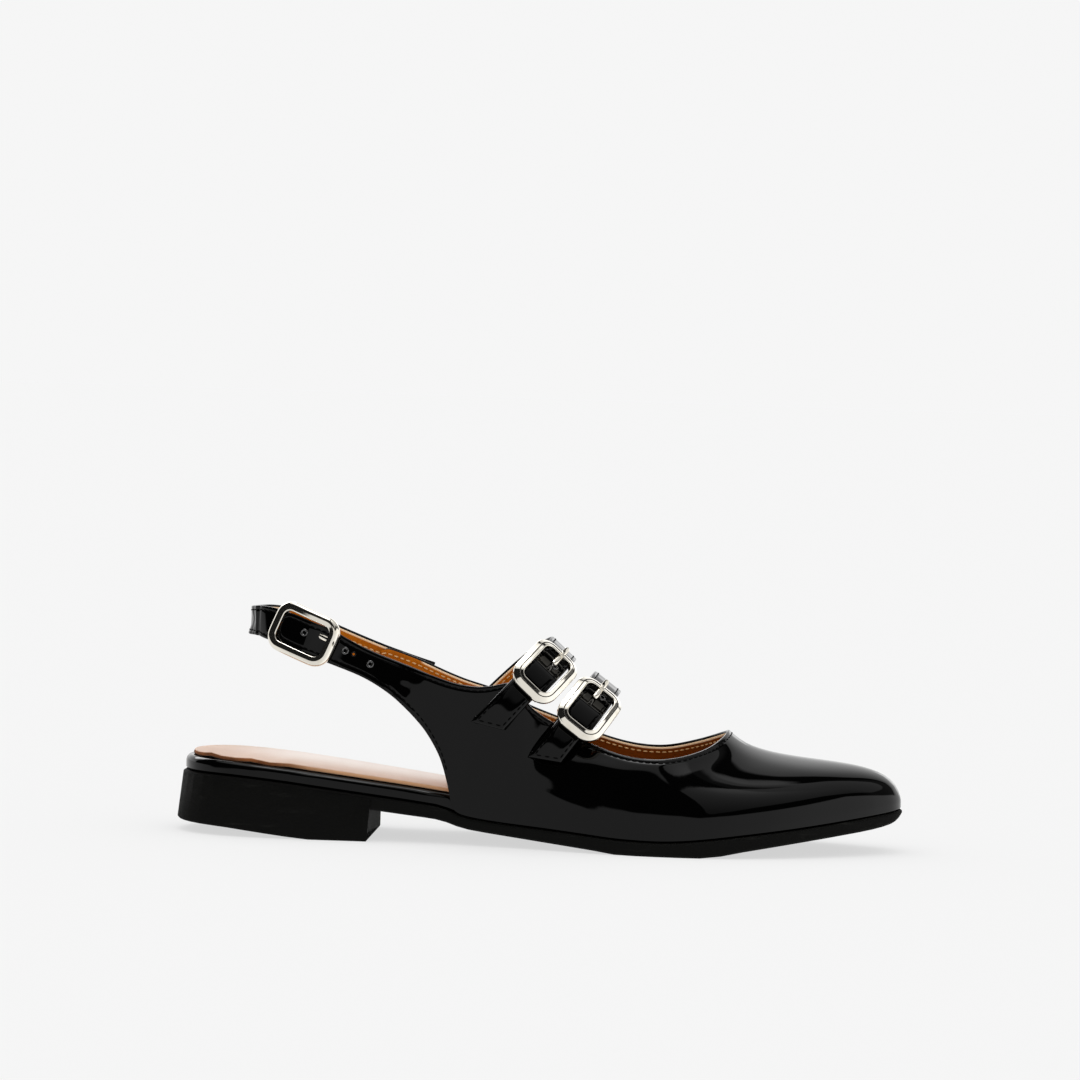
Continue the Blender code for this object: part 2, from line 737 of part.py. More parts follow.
def make_instep(strap, wall):
    name = strap["name"]
    ribbon = instep_ribbon(strap)
    half = len(ribbon.line) // 2

    def down_lateral(depth):
        return float(np.interp(depth, ribbon.depth[half:], ribbon.along[half:]))

    medial_side = slice(half, None, -1)
    medial_end = np.interp(strap["medial_end"], ribbon.depth[medial_side], ribbon.along[medial_side])
    centre = down_lateral(strap["buckle"])
    tab_top = centre + TAB_START
    tab_end = down_lateral(strap["tab_end"])
    tail = table(STRAP_TAIL)
    lift = monotone(tail["along"], tail["out"])

    def strap_spot(s, side):
        point = ribbon.at(s, side, lift(s - centre))
        if point[1] > 0:
            lining = wall.inner(point[0], point[2], 1)
            if lining is not None:
                point[1] = min(point[1], lining - GAP)
        return point

    def tab_spot(s, side):
        slant = (s - tab_top) / (tab_end - tab_top)
        point = ribbon.at(s + TAB_SLANT * side * slant, side)
        leather = wall.outer(point[0], point[2], -1)
        if leather is not None:
            point[1] = min(point[1], leather - GAP - STRAP_THICKNESS)
        return point

    stations = stations_between(medial_end, centre + tail["along"][-1], ALONG_STEP)
    grid = strap_grid(stations, STRAP_WIDTH / 2, strap_spot)
    sheet("instep_strap_" + name, grid, STRAP_THICKNESS, "patent")
    grid = strap_grid(stations_between(tab_top, tab_end, ALONG_STEP), TAB_WIDTH / 2, tab_spot)
    sheet("buckle_tab_" + name, grid, STRAP_THICKNESS, "patent")
    buckle_names = ("instep_buckle_" + name, "instep_prong_" + name)
    make_buckle(buckle_names, ribbon, centre, strap["frame_side"], strap["prong_side"])


for item in list(bpy.data.objects):
    bpy.data.objects.remove(item)
parts = bpy.data.collections.new("slingback_shoe")
bpy.context.scene.collection.children.link(parts)
root = bpy.data.objects.new("shoe_root", None)
parts.objects.link(root)

make_outsole()
make_heel()
make_board()
make_insole()
sling_line = sling_ribbon()
upper_wall = Wall(make_upper(sling_line))
make_sling(sling_line, upper_wall)
for instep in records(INSTEP_STRAPS):
    make_instep(instep, upper_wall)

low = edge.min(axis=0)
high = edge.max(axis=0)
root.location = Vector((-high[0] / 2, -(low[1] + high[1]) / 2, 0.0)) * MM
bpy.context.view_layer.update()
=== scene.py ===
import json
from math import cos, pi, radians, sin

import bmesh
import bpy
import numpy as np
from mathutils import Matrix, Vector

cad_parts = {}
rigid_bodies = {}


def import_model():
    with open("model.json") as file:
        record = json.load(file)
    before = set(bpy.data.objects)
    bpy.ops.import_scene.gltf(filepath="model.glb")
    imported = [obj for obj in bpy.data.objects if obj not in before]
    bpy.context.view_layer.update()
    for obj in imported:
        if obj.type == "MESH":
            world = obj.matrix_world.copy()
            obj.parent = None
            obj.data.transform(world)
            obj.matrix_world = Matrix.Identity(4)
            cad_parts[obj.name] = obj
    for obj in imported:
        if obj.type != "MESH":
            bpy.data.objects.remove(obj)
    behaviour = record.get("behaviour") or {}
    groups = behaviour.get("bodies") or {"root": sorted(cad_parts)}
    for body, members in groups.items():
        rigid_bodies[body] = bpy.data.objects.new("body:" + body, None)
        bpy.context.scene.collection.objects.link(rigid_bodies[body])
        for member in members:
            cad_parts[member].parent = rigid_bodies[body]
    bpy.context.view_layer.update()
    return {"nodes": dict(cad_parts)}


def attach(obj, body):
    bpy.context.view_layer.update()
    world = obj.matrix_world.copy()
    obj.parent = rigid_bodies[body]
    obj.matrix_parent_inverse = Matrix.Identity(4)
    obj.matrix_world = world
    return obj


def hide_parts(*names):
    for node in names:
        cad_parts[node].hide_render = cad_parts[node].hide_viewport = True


for item in list(bpy.data.objects):
    bpy.data.objects.remove(item)
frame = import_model()
mm = 0.001
mergeGap = 0.000001
print("frame loaded")


# Shader sockets that take part in sums
class Sock:
    def __init__(self, tree, socket):
        self.tree = tree
        self.socket = socket

    def sum(self, operation, first, second):
        return self.tree.node("ShaderNodeMath", {"operation": operation}, {0: first, 1: second})

    def __add__(self, other):
        return self.sum("ADD", self, other)

    def __radd__(self, other):
        return self.sum("ADD", other, self)

    def __sub__(self, other):
        return self.sum("SUBTRACT", self, other)

    def __rsub__(self, other):
        return self.sum("SUBTRACT", other, self)

    def __mul__(self, other):
        return self.sum("MULTIPLY", self, other)

    def __rmul__(self, other):
        return self.sum("MULTIPLY", other, self)

    def __truediv__(self, other):
        return self.sum("DIVIDE", self, other)

    def __rtruediv__(self, other):
        return self.sum("DIVIDE", other, self)


# One material or world, with the nodes that its finish needs
class Finish:
    def __init__(self, owner):
        owner.use_nodes = True
        self.owner = owner
        self.tree = owner.node_tree
        self.tree.nodes.clear()

    def node(self, kind, settings=None, sockets=None, out=0):
        made = self.tree.nodes.new(kind)
        for name, value in (settings or {}).items():
            if name == "stops":
                ramp = made.color_ramp
                for stop, (place, colour) in zip((ramp.elements[0], ramp.elements[1]), value):
                    stop.position, stop.color = place, (*colour, 1.0)
                for place, colour in value[2:]:
                    ramp.elements.new(place).color = (*colour, 1.0)
            else:
                setattr(made, name, value)
        for name, value in (sockets or {}).items():
            if isinstance(value, Sock):
                self.tree.links.new(value.socket, made.inputs[name])
            else:
                made.inputs[name].default_value = value
        return Sock(self, made.outputs[out]) if made.outputs else None

    def place(self):
        return self.node("ShaderNodeTexCoord", out="Object")

    def noise(self, scale, detail=2.0, rough=0.5, stretch=None):
        spot = self.place()
        if stretch:
            spot = self.node("ShaderNodeVectorMath", {"operation": "MULTIPLY"}, {0: spot, 1: stretch})
        return self.node("ShaderNodeTexNoise", {},
                         {"Vector": spot, "Scale": scale, "Detail": detail, "Roughness": rough})

    def ramp(self, value, low, high, start=0.0, end=1.0):
        return self.node("ShaderNodeMapRange", {"interpolation_type": "SMOOTHSTEP"},
                         {"Value": value, "From Min": low, "From Max": high,
                          "To Min": start, "To Max": end})

    def mix(self, factor, first, second):
        return self.node("ShaderNodeMix", {"data_type": "RGBA"},
                         {0: factor, 6: first, 7: second}, out=2)

    def bump(self, height, depth, strength=1.0):
        return self.node("ShaderNodeBump", {},
                         {"Height": height, "Distance": depth, "Strength": strength})

    def surface(self, sockets):
        shader = self.node("ShaderNodeBsdfPrincipled", {}, sockets)
        self.node("ShaderNodeOutputMaterial", {}, {"Surface": shader})
        return self.owner


def grey(level):
    return (level, level, level, 1.0)


# Display levels of 0 to 255 as a linear colour
def rgb(red, green, blue):
    linear = []
    for level in (red, green, blue):
        share = level / 255
        linear.append(share / 12.92 if share < 0.04045 else ((share + 0.055) / 1.055) ** 2.4)
    return (*linear, 1.0)


# Finishes
patentLook = {"base": 0.0006, "tint": 1.02, "rough": 0.03, "roughSpread": 0.03,
              "peel": 900.0, "peelDepth": 0.0000012, "wave": 130.0, "waveDepth": 0.000012,
              "smear": 60.0, "smearSpan": (0.45, 0.75)}


def patentFinish(name, ior):
    coat = Finish(bpy.data.materials.new(name))
    peel = coat.noise(patentLook["peel"], detail=2.0)
    wave = coat.noise(patentLook["wave"], detail=1.0)
    smear = coat.noise(patentLook["smear"], detail=4.0, rough=0.6)
    height = peel * (patentLook["peelDepth"] / patentLook["waveDepth"]) + wave
    level, rough = patentLook["base"], patentLook["rough"]
    return coat.surface({
        "Base Color": (level, level, level * patentLook["tint"], 1.0),
        "Roughness": coat.ramp(smear, *patentLook["smearSpan"], rough, rough + patentLook["roughSpread"]),
        "IOR": ior,
        "Normal": coat.bump(height, patentLook["waveDepth"]),
    })


liningLook = {"colour": (186, 104, 16), "dark": (158, 82, 10), "grain": 1500.0,
              "grainDepth": 0.00006, "mottle": 45.0, "rough": 0.6, "ior": 1.12, "sheen": 0.0,
              # another colour where each stretch is passed: axis, from, to; then that colour; on the
              # lining it is painted shade, darker towards the toe inside the shoe
              "drift": (((0, -0.012, 0.022),), (112, 54, 6)),
              # painted highlight, paler along the cut edges: width in millimetres from and to, then the
              # colour
              "edge": (0.42, 0.85, (246, 214, 176))}
# the insole's drift is a painted highlight: paler towards the far side, forward of the back of the heel
insoleLook = {"colour": (206, 174, 152), "dark": (192, 156, 132), "grain": 1900.0,
              "grainDepth": 0.00003, "mottle": 30.0, "rough": 0.5, "ior": 1.4, "sheen": 0.08,
              "drift": (((1, -0.021, 0.014), (0, -0.122, -0.08)), (238, 226, 217))}
cutEdgeLook = {"colour": (136, 82, 44), "dark": (78, 44, 22), "grain": 2600.0,
               "grainDepth": 0.00008, "mottle": 120.0, "rough": 0.75, "ior": 1.3, "sheen": 0.0,
               "drift": (((0, -0.095, -0.07),), (196, 150, 112))}
# shared by the three leathers; each weight is the first of a pair that adds up to 1
hideGrain = {"poreSoft": 0.6, "fineScale": 0.6, "mottleWeight": 0.7, "toneSpan": (0.35, 0.65),
             "driftBlur": 0.006, "fineSpan": (0.3, 0.7), "smoother": 0.08, "rougher": 0.1,
             "poreWeight": 0.6, "bump": 0.6}


def leatherFinish(name, look):
    hide = Finish(bpy.data.materials.new(name))

    def blend(first, second, weight):
        return first * weight + second * (1.0 - weight)

    pores = hide.node("ShaderNodeTexVoronoi", {"feature": "SMOOTH_F1"},
                      {"Vector": hide.place(), "Scale": look["grain"],
                       "Smoothness": hideGrain["poreSoft"]})
    mottle = hide.noise(look["mottle"], detail=5.0, rough=0.6)
    fine = hide.noise(look["grain"] * hideGrain["fineScale"], detail=3.0, rough=0.6)
    tone = hide.ramp(blend(mottle, fine, hideGrain["mottleWeight"]), *hideGrain["toneSpan"])
    # the drift colour is painted shade on the lining, and a painted highlight on the insole's far side
    stretches, driftColour = look["drift"]
    passed = 1.0
    for axis, start, end in stretches:
        place = hide.node("ShaderNodeSeparateXYZ", {}, {0: hide.place()}, out=axis)
        passed = passed * hide.ramp(place + (mottle - 0.5) * hideGrain["driftBlur"], start, end)
    colour = hide.mix(tone, rgb(*look["dark"]), rgb(*look["colour"]))
    colour = hide.mix(passed, colour, rgb(*driftColour))
    # painted highlight along the lining's cut edges
    if "edge" in look:
        start, end, pale = look["edge"]
        gap = hide.node("ShaderNodeAttribute", {"attribute_name": "edgeGap"}, out="Fac")
        colour = hide.mix(hide.ramp(gap, start, end), rgb(*pale), colour)
    return hide.surface({
        "Base Color": colour,
        "Roughness": hide.ramp(fine, *hideGrain["fineSpan"], look["rough"] - hideGrain["smoother"],
                               look["rough"] + hideGrain["rougher"]),
        "IOR": look["ior"],
        "Sheen Weight": look["sheen"],
        "Normal": hide.bump(blend(pores, fine, hideGrain["poreWeight"]), look["grainDepth"],
                            hideGrain["bump"]),
    })


soleLook = {"colour": (12, 12, 11), "scuff": (30, 30, 28), "ior": 1.16,
            "rough": 0.78, "smoother": 0.1, "rougher": 0.12, "toothSpan": (0.3, 0.7),
            "tooth": 2200.0, "toothDepth": 0.00004, "toothShare": 0.8, "bump": 0.7,
            "drag": 90.0, "dragStretch": (0.35, 1.0, 3.5), "dragShare": 0.6, "rubSpan": (0.58, 0.78)}


def soleFinish():
    rubber = Finish(bpy.data.materials.new("sole"))
    tooth = rubber.noise(soleLook["tooth"], detail=4.0, rough=0.7)
    drag = rubber.noise(soleLook["drag"], detail=5.0, rough=0.7, stretch=soleLook["dragStretch"])
    rub = rubber.ramp(drag, *soleLook["rubSpan"])
    height = tooth * soleLook["toothShare"] + drag * soleLook["dragShare"]
    return rubber.surface({
        "Base Color": rubber.mix(rub, rgb(*soleLook["colour"]), rgb(*soleLook["scuff"])),
        "Roughness": rubber.ramp(tooth, *soleLook["toothSpan"], soleLook["rough"] - soleLook["smoother"],
                                 soleLook["rough"] + soleLook["rougher"]),
        "IOR": soleLook["ior"],
        "Normal": rubber.bump(height, soleLook["toothDepth"], soleLook["bump"]),
    })


metalLook = {"colour": (0.88, 0.84, 0.75, 1.0), "worn": (0.80, 0.75, 0.64, 1.0), "wornSpan": (0.5, 0.72),
             "rough": 0.03, "roughSpread": 0.06, "roughSpan": (0.35, 0.7), "haze": 240.0, "hazeShare": 0.6,
             "hair": 1600.0, "hairStretch": (0.15, 1.0, 1.0), "hairShare": 0.4, "hairDepth": 0.000004,
             "bump": 0.5}


def metalFinish():
    plate = Finish(bpy.data.materials.new("buckle_metal"))
    hair = plate.noise(metalLook["hair"], detail=3.0, rough=0.6, stretch=metalLook["hairStretch"])
    haze = plate.noise(metalLook["haze"], detail=4.0, rough=0.6)
    worn = plate.ramp(haze, *metalLook["wornSpan"])
    dulled = haze * metalLook["hazeShare"] + hair * metalLook["hairShare"]
    rough = metalLook["rough"]
    return plate.surface({
        "Base Color": plate.mix(worn, metalLook["colour"], metalLook["worn"]),
        "Metallic": 1.0,
        "Roughness": plate.ramp(dulled, *metalLook["roughSpan"], rough, rough + metalLook["roughSpread"]),
        "Normal": plate.bump(hair, metalLook["hairDepth"], metalLook["bump"]),
    })


threadLook = {"ply": 5200.0, "shade": 0.6, "plySpan": (0.3, 0.7), "roughSpread": 0.1,
              "plyDepth": 0.00004, "bump": 0.6}


# Threads, and the other small dull surfaces
def threadFinish(name, colour, rough, ior):
    thread = Finish(bpy.data.materials.new(name))
    ply = thread.noise(threadLook["ply"])
    dark = tuple(level * threadLook["shade"] for level in rgb(*colour)[:3])
    spread = threadLook["roughSpread"]
    return thread.surface({
        "Base Color": thread.mix(ply, (*dark, 1.0), rgb(*colour)),
        "Roughness": thread.ramp(ply, *threadLook["plySpan"], rough - spread, rough + spread),
        "IOR": ior,
        "Normal": thread.bump(ply, threadLook["plyDepth"], threadLook["bump"]),
    })


finishes = {
    "patent": patentFinish("patent", 1.29),
    "holeRim": patentFinish("hole_rim", 2.0),
    "lining": leatherFinish("lining", liningLook),
    "insole": leatherFinish("insole", insoleLook),
    "cutEdge": leatherFinish("insole_cut_edge", cutEdgeLook),
    "sole": soleFinish(),
    "metal": metalFinish(),
    "blackThread": threadFinish("black_thread", (3, 3, 3), 0.45, 1.12),
    "tanThread": threadFinish("tan_thread", (236, 190, 132), 0.5, 1.4),
    # painted shade: a dark disc stands for the inside of each punched hole
    "holeShade": threadFinish("punched_hole", (3, 3, 3), 0.8, 1.1),
    # black edge paint on the tab sides, and a painted dark reflection in the buckle bars' grooves
    "edgePaintAndReflection": threadFinish("edge_paint_and_reflection", (5, 5, 5), 0.6, 1.2),
}
print("finishes made:", len(finishes))


# Meshes and their modifiers
def placed(name, data):
    item = bpy.data.objects.new(name, data)
    bpy.context.scene.collection.objects.link(item)
    return item


def meshFrom(name, bm):
    mesh = bpy.data.meshes.new(name)
    bm.to_mesh(mesh)
    bm.free()
    return mesh


def pieceFrom(name, bm, finish, replaced=()):
    bm.normal_update()
    for face in bm.faces:
        face.smooth = True
    item = placed(name, meshFrom(name, bm))
    for each in (finish if isinstance(finish, tuple) else (finish,)):
        item.data.materials.append(finishes[each])
    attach(item, "root")
    if replaced:
        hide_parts(*replaced)
    return item


def thicken(item, wall, even=True, rim=0):
    solid = item.modifiers.new("Wall", "SOLIDIFY")
    solid.thickness = wall * mm
    solid.offset = -1.0
    solid.use_even_offset = even
    solid.material_offset_rim = rim


def soften(item, levels):
    smooth = item.modifiers.new("Soft", "SUBSURF")
    smooth.levels = levels
    smooth.render_levels = levels


def levelShade(item):
    shade = item.modifiers.new("Flats", "WEIGHTED_NORMAL")
    shade.keep_sharp = True


# Reading the sheets and straps back from the solids
def mergedCopy(name):
    bm = bmesh.new()
    bm.from_mesh(frame["nodes"][name].data)
    bmesh.ops.remove_doubles(bm, verts=bm.verts, dist=mergeGap)
    bm.normal_update()
    return bm


# Faces in smooth patches, the largest first
def patches(bm, sharp=0.9):
    left = set(bm.faces)
    found = []
    while left:
        stack = [left.pop()]
        patch = []
        while stack:
            face = stack.pop()
            patch.append(face)
            for edge in face.edges:
                if len(edge.link_faces) == 2 and edge.calc_face_angle(0.0) < sharp:
                    near = [other for other in edge.link_faces if other in left]
                    left.difference_update(near)
                    stack += near
        found.append(patch)
    return sorted(found, key=lambda patch: -sum(face.calc_area() for face in patch))


def rimLoop(bm):
    start = next(edge.verts[0] for edge in bm.edges if edge.is_boundary)
    loop, last = [start], None
    while True:
        last = next(edge for edge in loop[-1].link_edges if edge.is_boundary and edge is not last)
        after = last.other_vert(loop[-1])
        if after is start:
            return loop
        loop.append(after)


# Four corners of a strip, or of the upper with its two narrow ends
def sharpCorners(loop):
    turns = []
    for i, vert in enumerate(loop):
        before = vert.co - loop[i - 1].co
        after = loop[(i + 1) % len(loop)].co - vert.co
        turns.append((before.angle(after), i))
    return sorted(i for turn, i in sorted(turns)[-4:])


def tailCorners(loop, across):
    count = len(loop)
    corners = []
    for side in (-1, 1):
        low = min((i for i in range(count) if loop[i].co.y * side > 0), key=lambda i: loop[i].co.x)
        step = 1 if loop[(low + across) % count].co.z > loop[low - across].co.z else -1
        corners += [low, (low + step * across) % count]
    return sorted(corners)


def chain(loop, start, end):
    stop = end if end >= start else end + len(loop)
    return [loop[i % len(loop)] for i in range(start, stop + 1)]


# Columns of a grid, from face to face, as far as the solid's own mesh keeps to one
def walk(first, lower, upper):
    columns, used = [first], set()

    def beyond(a, b):
        for face in a.link_faces:
            if face not in used and b in face.verts:
                used.add(face)
                return next(vert for vert in face.verts if vert not in (a, b))
        return None

    for foot, top in zip(lower[1:], upper[1:]):
        column = [foot]
        for a, b in zip(columns[-1], columns[-1][1:]):
            spot = beyond(a, b)
            if spot is column[-1]:
                spot = beyond(b, spot)
            elif spot is None or beyond(a, spot) is not column[-1]:
                return columns
            if spot is None:
                return columns
            column.append(spot)
        if column[-1] is not top:
            return columns
        columns.append(column)
    return columns


# Outer face of a sheet as a grid of points in millimetres, along and across
def sheetGrid(name, across, corners=sharpCorners):
    bm = mergedCopy(name)
    outer = set(patches(bm)[0])
    bmesh.ops.delete(bm, geom=[face for face in bm.faces if face not in outer], context="FACES")
    loop = rimLoop(bm)
    a, b, c, d = corners(loop)
    if (b - a) > (c - b):
        a, b, c, d = b, c, d, a
    upper = chain(loop, b, c)
    lower = chain(loop, d, a)[::-1]
    ends = [chain(loop, a, b), chain(loop, c, d)[::-1]]
    shares = np.linspace(0.0, 1.0, across + 1)[:, None]
    grid = []
    for foot, top in zip(lower, upper):
        foot, top = np.array(foot.co), np.array(top.co)
        grid.append(foot + (top - foot) * shares)
    if len(ends[0]) == across + 1:
        for i, column in enumerate(walk(ends[0], lower, upper)):
            grid[i] = np.array([vert.co for vert in column])
    if len(ends[1]) == across + 1:
        for i, column in enumerate(walk(ends[1], lower[::-1], upper[::-1])):
            grid[-1 - i] = np.array([vert.co for vert in column])
    grid = np.array(grid) / mm
    face = max(bm.faces, key=lambda face: face.calc_area())
    spot = np.array(face.calc_center_median()) / mm
    outward = np.array(face.normal)
    i, j = np.unravel_index(np.argmin(np.linalg.norm(grid - spot, axis=2)), grid.shape[:2])
    if np.dot(normalsOf(grid)[i, j], outward) < 0:
        grid = grid[::-1]
    bm.free()
    return grid


def unit(vectors):
    return vectors / np.linalg.norm(vectors, axis=-1, keepdims=True)


def normalsOf(grid):
    return unit(np.cross(np.gradient(grid, axis=0), np.gradient(grid, axis=1)))


# Smooth line through points, read at distances along it or at counts of points
def lineAt(points, stations, along=None):
    points = np.asarray(points, float)
    if along is None:
        spans = np.linalg.norm(np.diff(points, axis=0), axis=1)
        along = np.concatenate([[0.0], np.cumsum(spans)])
    slopes = np.gradient(points, along, axis=0)
    s = np.clip(stations, along[0], along[-1])
    i = np.clip(np.searchsorted(along, s, side="right") - 1, 0, len(along) - 2)
    h = (along[i + 1] - along[i])[:, None]
    t = (s - along[i])[:, None] / h
    start = (2 * t ** 3 - 3 * t ** 2 + 1) * points[i] + (t ** 3 - 2 * t ** 2 + t) * h * slopes[i]
    return start + (3 * t ** 2 - 2 * t ** 3) * points[i + 1] + (t ** 3 - t ** 2) * h * slopes[i + 1]


def lengthOf(points):
    return float(np.sum(np.linalg.norm(np.diff(points, axis=0), axis=1)))


def finerRows(grid, factor):
    counts = np.arange(len(grid), dtype=float)
    stations = np.linspace(0, len(grid) - 1, (len(grid) - 1) * factor + 1)
    return np.stack([lineAt(grid[:, j], stations, counts) for j in range(grid.shape[1])], axis=1)


# Distances from the two edges of a sheet, drawn closer together on a narrow column
def stationsFor(length, edgeSteps, setBack, middle, mostTaken=0.86):
    steps = [step + setBack for step in edgeSteps]
    room = length / 2 * mostTaken
    squeeze = min(1.0, room / steps[-1])
    near = [step * squeeze for step in steps]
    inner = list(np.linspace(near[-1], length - near[-1], middle + 2)[1:-1])
    return np.array(near + inner + [length - step for step in reversed(near)])


def dressed(grid, edgeSteps, setBack, middle):
    columns = []
    for column in grid:
        stations = stationsFor(lengthOf(column), edgeSteps, setBack, middle)
        columns.append(lineAt(column, stations))
    return np.stack(columns)


# Sheet through a grid of points, which notes how far each point is from the long edges
def gridPiece(name, points, wall, finish, replaced=(), even=True, rim=0):
    rows, across = points.shape[:2]
    bm = bmesh.new()
    bmesh.ops.create_grid(bm, x_segments=rows - 1, y_segments=across - 1, size=0.5)
    spans = np.linalg.norm(np.diff(points, axis=1), axis=2)
    fromFirst = np.concatenate([np.zeros((rows, 1)), np.cumsum(spans, axis=1)], axis=1)
    gaps = np.minimum(fromFirst, fromFirst[:, -1:] - fromFirst)
    edgeGap = bm.verts.layers.float.new("edgeGap")
    for vert, spot, gap in zip(bm.verts, points.transpose(1, 0, 2).reshape(-1, 3), gaps.T.ravel()):
        vert.co = Vector(spot) * mm
        vert[edgeGap] = gap
    item = pieceFrom(name, bm, finish, replaced)
    thicken(item, wall, even, rim)
    soften(item, 1)
    return item


# Soft troughs and ridges pressed along a line from start to end, in millimetres
def pressed(points, creases):
    facing = normalsOf(points)
    depth = np.zeros(points.shape[:2])
    for start, end, width, height in creases:
        start, end = np.array(start), np.array(end)
        run = end - start
        share = np.clip(((points - start) @ run) / (run @ run), 0.0, 1.0)
        gap = np.linalg.norm(points - start - share[..., None] * run, axis=2)
        depth += height * np.exp(-(gap / width) ** 2)
    return points + facing * depth[..., None]


# Edges of a strip moved outwards, by so much at its first and last column
def widened(grid, first, last):
    run = unit(grid[:, -1] - grid[:, 0])[:, None, :]
    shares = np.linspace(0.0, 1.0, grid.shape[1])[None, :, None]
    first, last = (np.broadcast_to(value, len(grid))[:, None, None] for value in (first, last))
    return grid + run * (last * shares - first * (1.0 - shares))


# How far a rolled edge drops at each step in from it
def rollDrop(steps, radius):
    return np.array([radius - (radius ** 2 - max(radius - step, 0.0) ** 2) ** 0.5 for step in steps])


# Rolled edges and sunk seams; the first edge and its seam only by the share given
def edged(outer, normals, plan, share):
    depths = np.zeros(outer.shape[1])
    count = len(plan["edgeSteps"])
    depths[:count] = rollDrop(plan["edgeSteps"], plan["roll"])
    depths[plan["stitchStep"]] += plan["trough"]
    near = share[:, None] * depths
    return outer - normals * (near + depths[::-1])[..., None]


# Stitches: small threads gathered while the pieces are made, joined at the end
stitchPlan = {"pitch": 2.3, "length": 1.75, "width": 0.56, "height": 0.42, "sunk": 0.1, "ahead": 0.2,
              "sides": 6, "rings": 5}
threads = {"black": [], "tan": []}


def sew(kind, line, normals, skip=None):
    spans = np.linalg.norm(np.diff(line, axis=0), axis=1)
    along = np.concatenate([[0.0], np.cumsum(spans)])
    count = int(along[-1] / stitchPlan["pitch"])
    if count < 1:
        return
    stations = (np.arange(count) + 0.5) * along[-1] / count
    spots = lineAt(line, stations, along)
    ahead = lineAt(line, stations + stitchPlan["ahead"], along)
    facing = unit(lineAt(normals, stations, along))
    for spot, front, out in zip(spots, ahead, facing):
        if skip is None or not skip(spot):
            threads[kind].append((spot, unit(front - spot), out))


# Upper: patent outside, tan lining inside
upperPlan = {"across": 9, "rowFactor": 2, "middle": 12, "wall": 1.3, "roll": 0.75,
             "edgeSteps": (0.0, 0.4, 0.95, 1.6, 2.0, 2.4, 3.2), "stitchStep": 4, "trough": 0.2,
             # the lower edge hangs free behind this place along the shoe, with a short fade
             "freeBehind": -30.0, "freeFade": 3.0,
             "liningWall": 0.55, "liningBack": 0.95, "liningGap": 0.03, "liningTurn": (0.5, 0.28, 0.1),
             "liningSeam": 3,
             # the lining's edge gets no painted highlight behind this place on the medial arm
             "plainBehind": -46.0,
             # turn of the rear arm and the sling: place along the shoe, then slope; where it starts across
             "twist": ((-110.0, 0.19), (-68.0, 0.22), (-57.0, 0.3), (-48.0, 0.3), (-40.0, 0.0)),
             "twistFrom": -6.0, "twistFade": 8.0,
             # the topline leans in below the straps: place along the shoe, then lean
             "lean": ((-4.0, 0.0), (1.0, 0.34), (33.0, 0.34), (43.0, 0.0)),
             # the places shift with height, by a slope above a level; pairs of height and rise that leans
             "leanShift": (31.0, 0.77),
             "leanRise": ((28.6, 0.0), (29.8, 0.4), (35.4, 6.0), (38.0, 7.2), (60.0, 7.2)),
             # a slighter lean lower down, and the level where it starts, its slope and depth
             "lowLean": ((-5.0, 0.0), (0.0, 0.1), (12.0, 0.1), (22.0, 0.0)),
             "lowFrom": (23.0, -0.3, 6.0),
             # the rear arm is wider where it runs through the buckle
             "tail": ((-95.0, 1.0), (-72.0, 1.1), (-62.0, 0.5), (-54.0, 0.0)),
             "tailTop": ((-95.0, 1.0), (-74.0, 1.0), (-64.0, 0.0)),
             "creases": (((-50.5, -27.0, 52.5), (-46.5, -27.2, 55.0), 1.6, -0.35),
                         ((-53.5, -26.5, 56.5), (-47.5, -27.0, 50.5), 1.2, 0.2),
                         ((-57.0, -25.5, 58.0), (-53.0, -26.0, 56.0), 1.0, -0.2),
                         # a fuller toe
                         ((121.0, 8.0, 13.0), (127.0, 10.0, 18.0), 22.0, 0.9))}


# Value at each place from pairs of place and value
def valueAt(places, pairs):
    return np.interp(places, *zip(*pairs))


# 1 where the sheet's lower edge hangs free behind the sole, 0 along the feather edge
def freeEdge(points):
    return np.clip((upperPlan["freeBehind"] - points[:, 0]) / upperPlan["freeFade"], 0.0, 1.0)


def leaned(points):
    level, slope = upperPlan["leanShift"]
    place, height = points[..., 0], points[..., 2]
    shifted = place - np.clip(height - level, 0.0, None) * slope
    inward = valueAt(shifted, upperPlan["lean"]) * valueAt(height, upperPlan["leanRise"])
    level, slope, depth = upperPlan["lowFrom"]
    lowRise = np.clip(height - level - slope * place, 0.0, depth)
    inward = inward + valueAt(place, upperPlan["lowLean"]) * lowRise
    inward = inward * (points[..., 1] < 0)
    return points + inward[..., None] * np.array([0.0, 1.0, 0.0])


# Top edge turned in along the rear arm and the sling, about the middle of the strip
def twisted(grid):
    fade = np.clip((upperPlan["twistFrom"] - grid[..., 1]) / upperPlan["twistFade"], 0.0, 1.0)
    turn = valueAt(grid[..., 0], upperPlan["twist"]) * fade
    middle = (grid[:, :1, 2] + grid[:, -1:, 2]) / 2
    return grid + (turn * (grid[..., 2] - middle))[..., None] * np.array([0.0, 1.0, 0.0])


